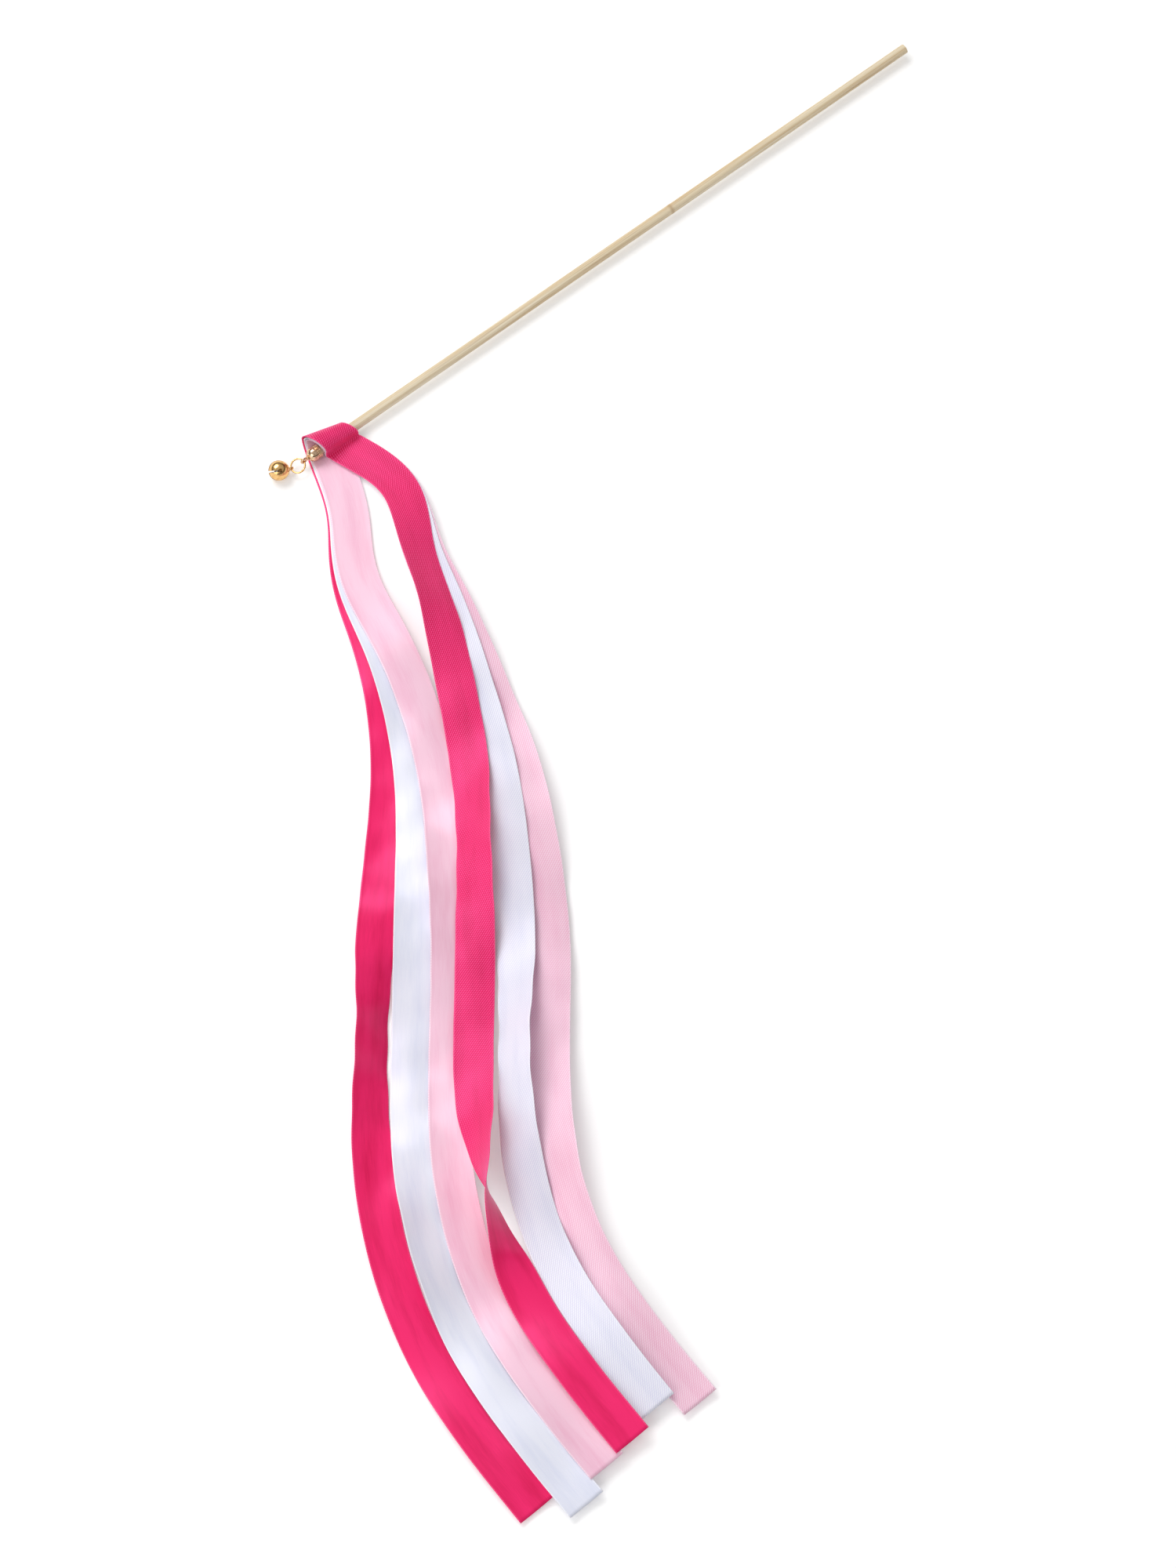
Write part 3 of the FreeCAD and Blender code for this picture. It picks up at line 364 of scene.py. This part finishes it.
    # the highlight runs with the threads, along the ribbon
    grain = addNode(tree, "ShaderNodeTangent", {"direction_type": "UV_MAP", "uv_map": "cloth"})
    tree.links.new(grain.outputs[0], shader.inputs["Tangent"])
    shader.inputs["Anisotropic"].default_value = satin["anisotropic"]
    shader.inputs["Specular Tint"].default_value = linear(tint["sheen"])
    shader.inputs["Specular IOR Level"].default_value = satin["specular"]
    shader.inputs["Sheen Weight"].default_value = tint["sheenWeight"]
    shader.inputs["Sheen Roughness"].default_value = satin["sheenRough"]
    shader.inputs["Sheen Tint"].default_value = linear(tint["sheen"])
    return material


# Ribbons: three, folded askew round the stick together, each with two tails

ribbonWidth = 15.0
layerPitch = 0.4  # from one ribbon's middle to the next where they are glued
clothThickness = 0.2
selvedgeThickness = 0.3
edgeRound = 0.06  # how far the rounded edge stands out

sleeve = {
    "nearest": 2.275,  # innermost ribbon's middle beside the stick's axis
    "bottom": -3.175,  # innermost ribbon's middle under the stick and the cap
    # farX is where the far side lies, radius and shift give its arc, step is what each further
    # ribbon adds, and last is the arc's end in degrees
    "mouth": {"farX": -298.6, "radius": 3.9, "step": 0.85, "shift": 1.9, "last": 150.0},
    "neck": {"farX": -282.7, "radius": 2.8, "step": 0.45, "shift": 0.6, "last": 110.0},
    "corner": 1.4,  # innermost ribbon's bend from beside the stick into the upper tail
    "pinch": 4.3,  # start of the flat tails, from the stick's axis
    "lean": {"upper": 20.0, "lower": -18.0},  # degrees off square
    "inset": {"upper": 0.15, "lower": 0.75},  # each ribbon's edge inside the next one's
    "risePull": 0.42,  # pull of the curve that rises beside the stick
    # points along each stretch of the fold
    "points": {"flat": 7, "bend": 10, "rise": 19, "crest": 37, "far": 25, "back": 9},
}

course = {
    "glueEnd": 4.0,  # mm from a tail's start
    "turn": 15.0,  # degrees, towards the cap just outside the sleeve
    "swing": 21.0,  # back below the cap
    "settle": 25.0,  # slowly to the long run
    "comeBack": 36.0,  # over the last third
    "sway": 3.0,  # to and fro along the run
    "close": 8.0,  # of the upper tails towards the lower ones
    "run": 23.0,  # degrees off square of the tails' middle line
    "wave": 3.2,  # mm, height of the long waves
    "waveLength": 96.0,
    "arch": 2.4,  # mm, rise of the upper tails where they leave the sleeve
    "ripple": 0.5,  # mm, height of the small oblique ripples that all tails share
    "ownWave": 1.1,  # mm, height of each tail's own waves
    "ownLength": (68, 9),  # mm, their mean length and how far it differs from tail to tail
    "cupStretch": 1.9,  # length of one curl of the edges, as a multiple of that length
    "cup": 0.55,  # mm, how far a tail's edges curl up or down beside its middle
    "loosening": 0.25,  # mm more between two layers
    "clear": 0.3,  # mm between the middles of two ribbons that lie on each other
    "step": 1.5,  # mm between two cross-sections
    "length": 442,  # mm of route that is worked out, longer than any tail
}

# where along a tail, in mm from its start, each change begins and ends
changes = {
    "turn": (course["glueEnd"], 34), "swing": (30, 68), "settle": (66, 175), "return": (235, 430),
    "sway": (80, 130), "parting": (course["glueEnd"], 52), "fan": (14, 232), "loosening": (12, 90),
    "waves": (22, 120), "calming": (350, 430), "ripple": (40, 110), "ownShape": (45, 130),
}
swaySpan = {"start": 90, "length": 250}
closing = {"middle": 85, "half": 60}
archSpan = {"middle": 32, "half": 30}
waveSlant = 0.5  # mm that a wave runs on for each mm across
waveStart = 40  # mm along the run
calm = 0.55  # share of the waves' height that is gone at the cut ends
edgeRest = 0.01  # rounds off the lift where a roll passes through level
# the ripples are two crossed waves: millimetres from crest to crest, and slant
ripples = [(41, 0.9), (27, -1.7)]

# fan is where a tail ends up beside the middle line of its three; rolls are the places where it
# stands up on one edge, as (distance from the start, half length, degrees); flip is where it
# turns over
ribbons = [
    {"name": "ribbonPalePink", "node": "ribbon_pale_pink", "slot": "pale_pink_satin",
     "tint": "palePink",
     "upper": {"fan": 24.0, "length": 428.0, "rolls": [(320, 62, 24)], "flip": None},
     "lower": {"fan": 1.5, "length": 426.0, "rolls": [(205, 55, -14)], "flip": None}},
    {"name": "ribbonWhite", "node": "ribbon_white", "slot": "white_satin",
     "tint": "white",
     "upper": {"fan": 11.0, "length": 420.0, "rolls": [(265, 75, 36), (385, 45, 12)], "flip": None},
     "lower": {"fan": -12.0, "length": 432.0, "rolls": [(330, 60, -18)], "flip": None}},
    {"name": "ribbonHotPink", "node": "ribbon_hot_pink", "slot": "hot_pink_satin",
     "tint": "hotPink",
     "upper": {"fan": -4.0, "length": 424.0, "rolls": [(66, 50, -34), (185, 60, 30)],
               "flip": (262, 372)},
     "lower": {"fan": -26.0, "length": 422.0, "rolls": [(250, 70, -38)], "flip": None}},
]
outermost = len(ribbons) - 1
lowestLayer = -0.5 - outermost
stackMiddle = sleeve["bottom"] + layerPitch / 2


def planDirection(degrees):
    # cosine and sine of the angle
    angle = np.radians(degrees)
    return np.stack([np.cos(angle), np.sin(angle)], axis=-1)


def startLine(half):
    # mouth and neck corner of the line on which one half's tails start: a ribbon's width, turned
    # by the half's lean, and placed so that the strip's side meets the sleeve's far side
    mouth = sleeve["mouth"]
    lean = sleeve["lean"][half]
    across = planDirection(lean) * ribbonWidth
    y = -sleeve["pinch"] - max(across[1], 0)
    far = mouth["shift"] + mouth["radius"] + outermost * mouth["step"]
    start = np.array([mouth["farX"] + math.tan(math.radians(lean)) * (far - y), y])
    return np.stack([start, start + across])


def inset(half, rank):
    # how far a ribbon's edge lies inside the outermost one's: an equal step for each rank
    return np.array([sleeve["inset"][half] * (outermost - rank), 0.0])


def progress(change, along):
    # share of a change that is done at a place along the tail
    return smooth(along, *changes[change])


def heading(along, half):
    # direction of one half's tails in plan, degrees from +X: the lean of the half, and after it a
    # sum of S-shaped turns and a slow sine; the upper half starts apart and closes up
    turned = course["turn"] * progress("turn", along)
    swung = course["swing"] * progress("swing", along)
    settled = course["settle"] * progress("settle", along)
    returned = course["comeBack"] * progress("return", along)
    sway = course["sway"] * np.sin(2 * np.pi * (along - swaySpan["start"]) / swaySpan["length"])
    sway = sway * progress("sway", along)
    lower = -90.0 + sleeve["lean"]["lower"] - turned + swung - settled + returned + sway
    if half == "lower":
        return lower
    apart = (sleeve["lean"]["upper"] - sleeve["lean"]["lower"]) * (1 - progress("parting", along))
    return lower + apart - course["close"] * hump(along, closing["middle"], closing["half"])


def traceRoute(half):
    # plan points of the middle line, one every millimetre: the start, and its heading added up
    steps = planDirection(heading(np.arange(course["length"]) + 0.5, half))
    start = startLine(half).mean(axis=0)[None]
    return np.concatenate([start, start + np.cumsum(steps, axis=0)])


routes = {half: traceRoute(half) for half in ("upper", "lower")}
run = planDirection(-90 - course["run"])
runSide = planDirection(-course["run"])


def waveHeight(place, half):
    # raised cosines over the plan, oblique to the run; an arch of the upper tails by the sleeve;
    # and the mean of two finer crossed sines
    onward = (place - routes["lower"][0]) @ run
    beside = (place - routes["lower"][0]) @ runSide
    rise = course["wave"] * progress("waves", onward) * (1 - calm * progress("calming", onward))
    phase = 2 * np.pi * (onward - waveStart + waveSlant * beside) / course["waveLength"]
    arch = 0.0
    if half == "upper":
        arch = course["arch"] * hump(onward, archSpan["middle"], archSpan["half"])
    crossed = [np.sin(2 * np.pi * (onward + slant * beside) / length) for length, slant in ripples]
    ripple = (crossed[0] + crossed[1] + 2) / 4 * course["ripple"] * progress("ripple", onward)
    return rise * (1 - np.cos(phase)) / 2 + arch + ripple


def ownShape(layer, along, across):
    # one tail's own raised cosines along it, and a parabola across that curls its edges up here
    # and down there; length and phase differ from layer to layer, so that no two tails match
    share = progress("ownShape", along)
    mean, change = course["ownLength"]
    length = mean + change * math.sin(5 * layer)
    wave = course["ownWave"] * (1 - np.cos(2 * np.pi * along / length + 4 * layer)) / 2
    curl = np.sin(2 * np.pi * along / (length * course["cupStretch"]) + 2.4 * layer)
    cup = course["cup"] * curl * (across**2 - 0.4)
    return (wave + cup) * share


def tailSurface(tail, half, rank, along, across):
    # a tail by the distance from its start and the place across, -1 to 1. Its middle follows the
    # route, moved sideways by a growing share of the fan. Its width is turned about that middle
    # by the waves' slope and the tail's own roll. Its height adds layer, waves, rolls and lift
    layer = 0.5 + rank if half == "upper" else -0.5 - rank
    marks = np.arange(len(routes[half]), dtype=float)
    onRoute = np.stack([np.interp(along, marks, routes[half][:, i]) for i in (0, 1)], axis=-1)
    side = planDirection(heading(along, half) + 90)
    place = onRoute + inset(half, rank) + side * (tail["fan"] * progress("fan", along))[..., None]
    slope = np.arctan(waveHeight(place + side / 2, half) - waveHeight(place - side / 2, half))
    roll = np.zeros_like(along)
    for middle, extent, degrees in tail["rolls"]:
        roll = roll + math.radians(degrees) * hump(along, middle, extent)
    if tail["flip"]:
        roll = roll + np.pi * smooth(along, *tail["flip"])
    lift = ribbonWidth / 2 * (np.hypot(np.sin(roll), edgeRest) - edgeRest)
    loose = (layer - lowestLayer) * course["loosening"] * progress("loosening", along)
    height = stackMiddle + layer * layerPitch + waveHeight(place, half) + lift + loose
    height = height + ownShape(layer, along, across) + np.interp(along, liftMarks, tail["lift"])
    reach = across * ribbonWidth / 2
    plan = place + side * (np.cos(roll + slope) * reach)[..., None]
    return np.concatenate([plan, (height + np.sin(roll + slope) * reach)[..., None]], axis=-1)


heapCell = 0.4  # mm, of the height map and between two marks along a tail
liftMarks = np.arange(0, course["length"], heapCell)
for ribbon in ribbons:
    for half in ("upper", "lower"):
        ribbon[half]["lift"] = np.zeros_like(liftMarks)


def layTails():
    # lays the tails on each other from the lowest up. A height map of what lies beneath gives the
    # most that each row has to rise; the greatest rise near by is taken and rounded off by a
    # sliding bell-shaped mean
    reach = 30  # cells to each side
    corner = np.array([-510.0, -410.0])  # mm, the map's corner; it covers 260 by 440 mm
    heap = np.full((650, 1100), cadBox[0].z / milli + clothThickness - course["clear"])
    window = np.hanning(2 * reach + 3)[1:-1]
    layers = [(-0.5 - rank, "lower", rank) for rank in range(len(ribbons))]
    layers += [(0.5 + rank, "upper", rank) for rank in range(len(ribbons))]
    for layer, half, rank in sorted(layers):
        tail = ribbons[rank][half]
        grid = np.meshgrid(liftMarks, np.linspace(-1, 1, 91), indexing="ij")
        points = tailSurface(tail, half, rank, *grid)
        column, row = np.moveaxis(((points[..., :2] - corner) / heapCell).astype(int), 2, 0)
        need = np.clip((heap[column, row] + course["clear"] - points[..., 2]).max(axis=1), 0, None)
        padded = np.pad(need, reach, mode="edge")
        around = np.lib.stride_tricks.sliding_window_view(padded, 2 * reach + 1)
        wide = np.pad(around.max(axis=1), reach, mode="edge")
        tail["lift"] = np.convolve(wide, window / window.sum(), "valid")
        used = liftMarks <= tail["length"]
        top = points[..., 2] + tail["lift"][:, None]
        np.maximum.at(heap, (column[used], row[used]), top[used])
        print("tail", layer, "rises at most", round(float(tail["lift"][used].max()), 2), "mm")


def foldLine(edgeName, corner, rank):
    # one edge of the sleeve, from the upper tail along a straight line, up beside the stick by a
    # quarter circle, over it by a cubic Bezier curve, round the far side by an arc and back under
    # the stick by a straight line to the lower tail
    edge = sleeve[edgeName]
    bend = sleeve["corner"] - rank * layerPitch
    bendY = -sleeve["nearest"] - sleeve["corner"]
    bendZ = stackMiddle + layerPitch / 2 + sleeve["corner"]
    bottom = sleeve["bottom"] - rank * layerPitch
    outer = edge["radius"] + rank * edge["step"]
    last = math.radians(edge["last"])
    starts = {half: startLine(half)[corner] + inset(half, rank) for half in ("upper", "lower")}
    count = sleeve["points"]

    low = bendZ - bend
    flat = np.linspace([starts["upper"][1], low], [bendY, low], count["flat"])[:-1]
    turn = np.linspace(-np.pi / 2, 0, count["bend"])
    corners = np.array([bendY, bendZ]) + bend * planDirection(np.degrees(turn))
    beside = np.array([-sleeve["nearest"] - rank * layerPitch, 0.0])
    crest = np.array([edge["shift"], bottom + outer]) + outer * planDirection(edge["last"])
    falling = np.array([-math.sin(last), math.cos(last)])
    handle = np.linalg.norm(beside - crest) * sleeve["risePull"]
    t = np.linspace(0, 1, count["rise"])[:-1, None]
    rise = ((1 - t) ** 3 * beside + 3 * t * (1 - t) ** 2 * (beside + np.array([0, handle]))
            + 3 * t**2 * (1 - t) * (crest + falling * handle) + t**3 * crest)
    overCrest = np.linspace(last, 0, count["crest"])
    angles = np.concatenate([overCrest, np.linspace(0, -np.pi / 2, count["far"])[1:]])
    arc = np.array([edge["shift"], bottom + outer]) + outer * planDirection(np.degrees(angles))
    back = np.linspace(arc[-1], [starts["lower"][1], bottom], count["back"])[1:]
    rows = np.concatenate([flat, corners, rise, arc, back])

    # along the stick, each half runs straight from its tail's start to the far side
    farX = edge["farX"] + (inset("upper", rank) + inset("lower", rank))[0] / 2
    farY = edge["shift"] + outer
    upperCount = len(flat) + len(corners) + len(rise) + len(overCrest)
    x = [farX + (starts[half][0] - farX) * (farY - y) / (farY - starts[half][1])
         for half, y in (("upper", rows[:upperCount, 0]), ("lower", rows[upperCount:, 0]))]
    return np.column_stack([np.concatenate(x), rows])


def sleeveSurface(rank, across):
    # straight lines from the looser edge at the mouth to the tighter edge at the neck
    mouth, neck = foldLine("mouth", 0, rank), foldLine("neck", 1, rank)
    share = (across[None, :, None] + 1) / 2
    return mouth[:, None, :] * (1 - share) + neck[:, None, :] * share


acrossMarks = np.sin(np.linspace(-np.pi / 2, np.pi / 2, 19))  # closer together near the edges


def ribbonSurface(ribbon):
    # cut end to cut end: upper tail inwards, sleeve, lower tail outwards
    def tailGrid(half):
        length = ribbon[half]["length"]
        along = np.linspace(0, length, int(length / course["step"]) + 1)[1:]
        grid = np.meshgrid(along, acrossMarks, indexing="ij")
        return tailSurface(ribbon[half], half, ribbon["rank"], *grid)

    return np.concatenate([tailGrid("upper")[::-1], sleeveSurface(ribbon["rank"], acrossMarks),
                           tailGrid("lower")])


def gridNormals(points):
    # the cross product of the slopes across and along, scaled to length 1
    normals = np.cross(np.gradient(points, axis=1), np.gradient(points, axis=0))
    return normals / np.linalg.norm(normals, axis=2, keepdims=True)


def stripMesh(name, points):
    # a closed profile carried along the strip: the top from edge to edge, the bottom back again,
    # and one point on each edge that rounds it. It thickens in the selvedges, from 0.9 to 0.95 of
    # the half width, and thins again at the very edge
    rows, columns = points.shape[:2]
    normals = gridNormals(points)
    offMiddle = np.abs(acrossMarks)
    edgeShare = smooth(offMiddle, 0.9, 0.95) * (1 - 0.6 * smooth(offMiddle, 0.985, 1.0))
    half = (clothThickness + (selvedgeThickness - clothThickness) * edgeShare) / 2
    top = points + normals * half[None, :, None]
    bottom = points - normals * half[None, :, None]
    outward = points[:, -1] - points[:, -2]
    outward /= np.linalg.norm(outward, axis=1, keepdims=True)
    inward = points[:, 0] - points[:, 1]
    inward /= np.linalg.norm(inward, axis=1, keepdims=True)
    leftTip = (points[:, 0] + inward * edgeRound)[:, None]
    rightTip = (points[:, -1] + outward * edgeRound)[:, None]
    rings = np.concatenate([leftTip, top, rightTip, bottom[:, ::-1]], axis=1)
    count = rings.shape[1]
    here = np.arange(rows - 1)[:, None] * count + np.arange(count)[None, :]
    beside = np.arange(rows - 1)[:, None] * count + (np.arange(count)[None, :] + 1) % count
    walls = np.stack([here, here + count, beside + count, beside], axis=2).reshape(-1, 4)
    # each cut end is closed by quads from top to bottom and a triangle at each edge
    j = np.arange(columns - 1)
    capQuads = np.stack([1 + j, 2 + j, count - 2 - j, count - 1 - j], axis=1)
    capTips = np.array([[0, 1, count - 1], [columns, columns + 1, columns + 2]])
    far = (rows - 1) * count
    faces = walls.tolist() + capQuads.tolist() + capTips.tolist()
    faces += (capQuads[:, ::-1] + far).tolist() + (capTips[:, ::-1] + far).tolist()
    mesh = bpy.data.meshes.new(name)
    mesh.from_pydata((rings.reshape(-1, 3) * milli).tolist(), [], faces)

    # the cloth's own map, in metres along and across, and the side that lies inside the fold
    middle = points[:, columns // 2]
    travel = np.concatenate([[0.0], np.cumsum(np.linalg.norm(np.diff(middle, axis=0), axis=1))])
    place = acrossMarks * ribbonWidth / 2
    acrossRing = np.concatenate([[place[0]], place, [place[-1]], place[::-1]])
    insideRing = np.concatenate([[0.5], np.zeros(columns), [0.5], np.ones(columns)])
    uvPoints = np.stack(np.broadcast_arrays(travel[:, None], acrossRing[None, :]), axis=2)
    uvPoints = uvPoints.reshape(-1, 2) * milli
    loops = np.zeros(len(mesh.loops), dtype=np.int32)
    mesh.loops.foreach_get("vertex_index", loops)
    layer = mesh.uv_layers.new(name="cloth")
    layer.uv.foreach_set("vector", uvPoints[loops].astype(np.float32).ravel())
    side = mesh.attributes.new("inside", "FLOAT", "POINT")
    side.data.foreach_set("value", np.tile(insideRing, rows).astype(np.float32))
    mesh.polygons.foreach_set("use_smooth", np.ones(len(mesh.polygons), dtype=bool))
    mesh.update()
    return mesh, travel[-1]


def buildRibbon(ribbon):
    points = ribbonSurface(ribbon)
    mesh, length = stripMesh(ribbon["name"], points)
    piece = bpy.data.objects.new(ribbon["name"], mesh)
    bpy.context.scene.collection.objects.link(piece)
    tint = ribbon["tint"]
    mesh.materials.append(satinMaterial("satin ribbon " + tint, ribbonColours[tint]))
    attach(piece, "wand")
    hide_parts(ribbon["node"])
    print(ribbon["name"], "length", round(length, 1), "mm,", len(mesh.polygons), "faces")


print("laying the tails on each other")
layTails()
print("ribbons")
for rank, ribbon in enumerate(ribbons):
    ribbon["rank"] = rank
    buildRibbon(ribbon)


# Stage: a white surface, a soft even sky and two large soft lamps

stage = {
    "floorSize": 8.0,  # metres
    "floorColour": "#f4f4f4",
    "floorLift": 0.25,  # added where the camera or a reflection sees the floor, so that it is white
    # light by height: 0 is level and 1 straight up; the dark frieze gives metal its bands
    "room": [(0.0, "#ffffff"), (0.2, "#ffffff"), (0.25, "#2e2620"), (0.44, "#3a3029"),
             (0.52, "#b8b8b8"), (1.0, "#c4c4c4")],
    # lamps: watts, metres, and metres from the middle of the picture
    "key": {"power": 17.5, "size": (1.2, 0.9), "from": (-0.1, 1.15, 1.45)},
    "fill": {"power": 6.0, "size": (1.0, 1.0), "from": (-1.15, -0.2, 0.8)},
}


def plainStage():
    # a square floor that touches the object's lowest point, and the room's light
    lowest = cadBox[0].z
    size = stage["floorSize"] / 2
    mesh = bpy.data.meshes.new("floor")
    corners = [(x * size, y * size, lowest) for x, y in ((-1, -1), (1, -1), (1, 1), (-1, 1))]
    mesh.from_pydata(corners, [], [(0, 1, 2, 3)])
    floor = bpy.data.objects.new("floor", mesh)
    bpy.context.scene.collection.objects.link(floor)
    material, tree, shader = newMaterial("matt white paper")
    shader.inputs["Base Color"].default_value = linear(stage["floorColour"])
    shader.inputs["Roughness"].default_value = 0.9
    shader.inputs["Specular IOR Level"].default_value = 0.1
    rays = addNode(tree, "ShaderNodeLightPath").outputs
    seen = addNode(tree, "ShaderNodeMath", {"operation": "MAXIMUM"},
                   in0=rays["Is Camera Ray"], in1=rays["Is Glossy Ray"])
    seen = addNode(tree, "ShaderNodeMath", {"operation": "MAXIMUM"},
                   in0=seen.outputs[0], in1=rays["Is Transmission Ray"])
    lift = addNode(tree, "ShaderNodeMath", {"operation": "MULTIPLY"}, in0=seen.outputs[0],
                   in1=stage["floorLift"])
    shader.inputs["Emission Color"].default_value = (1, 1, 1, 1)
    tree.links.new(lift.outputs[0], shader.inputs["Emission Strength"])
    mesh.materials.append(material)
    floor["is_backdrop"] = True

    # a pale room with a dark frieze: soft light, and dark bands in polished metal
    world = bpy.data.worlds.new("room")
    world.use_nodes = True
    tree = world.node_tree
    tree.nodes.clear()
    direction = addNode(tree, "ShaderNodeTexCoord").outputs["Generated"]
    height = addNode(tree, "ShaderNodeSeparateXYZ", Vector=direction).outputs["Z"]
    room = addNode(tree, "ShaderNodeValToRGB", Fac=height, stops=stage["room"])
    sky = addNode(tree, "ShaderNodeBackground", Color=room.outputs[0], Strength=1.0)
    addNode(tree, "ShaderNodeOutputWorld", Surface=sky.outputs[0])
    bpy.context.scene.world = world


def softLamp(name, aim):
    # a large rectangle of light that faces the object
    lamp = bpy.data.lights.new(name, "AREA")
    lamp.shape = "RECTANGLE"
    lamp.energy = stage[name]["power"]
    lamp.size, lamp.size_y = stage[name]["size"]
    holder = bpy.data.objects.new(name, lamp)
    bpy.context.scene.collection.objects.link(holder)
    holder.location = aim + Vector(stage[name]["from"])
    holder.rotation_euler = (aim - holder.location).to_track_quat("-Z", "Y").to_euler()


# Camera: a long lens at the photograph's height, with the stick towards the upper right

camera = {
    "elevation": 67.0,  # degrees above the surface
    "turn": 38.0,  # degrees from the frame's +X to the picture's right
    "lens": 110.0,  # mm
    "sensor": 36.0,  # mm
    "margin": 1.06,  # the picture's size, as a multiple of the object's outline in it
    "frameSize": (1500, 2000),  # pixels
}


def shownPoints():
    # every vertex of the visual pieces
    points = [np.array([v.co for v in piece.data.vertices]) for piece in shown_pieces()]
    return np.concatenate(points)


def placeCamera():
    # looks at the object from the set direction, and moves sideways and back until its outline is
    # centred and fills the frame but for the margin
    turn, high = math.radians(camera["turn"]), math.radians(camera["elevation"])
    right = np.array([math.cos(turn), -math.sin(turn), 0.0])
    back = np.array([-math.sin(turn) * math.cos(high), -math.cos(turn) * math.cos(high),
                     math.sin(high)])
    up = np.cross(back, right)
    lens = bpy.data.cameras.new("camera")
    lens.lens, lens.sensor_width = camera["lens"], camera["sensor"]
    pixelsWide, pixelsTall = camera["frameSize"]
    halfTall = lens.sensor_width / 2 / lens.lens
    halfWide = halfTall * pixelsWide / pixelsTall
    points = shownPoints()
    aim, distance = points.mean(axis=0), 2.0
    for _ in range(12):
        depth = distance - (points - aim) @ back
        wide, tall = (points - aim) @ right / depth, (points - aim) @ up / depth
        offset = right * (wide.max() + wide.min()) + up * (tall.max() + tall.min())
        aim = aim + offset / 2 * distance
        need = max(np.ptp(wide) / 2 / halfWide, np.ptp(tall) / 2 / halfTall)
        distance *= need * camera["margin"]
    holder = bpy.data.objects.new("camera", lens)
    bpy.context.scene.collection.objects.link(holder)
    holder.location = Vector(aim + back * distance)
    holder.rotation_mode = "QUATERNION"
    holder.rotation_quaternion = Vector(back).to_track_quat("Z", "Y")
    lens.clip_start, lens.clip_end = 0.01, 50.0
    bpy.context.scene.camera = holder
    detail = pixelsTall / (2 * halfTall * distance) * milli
    print("camera", round(distance, 3), "m away,", round(detail, 2), "px per mm")
    return Vector(aim)


print("floor, room, camera and lamps")
plainStage()
aim = placeCamera()
softLamp("key", aim)
softLamp("fill", aim)
bpy.context.scene.view_settings.view_transform = "Standard"
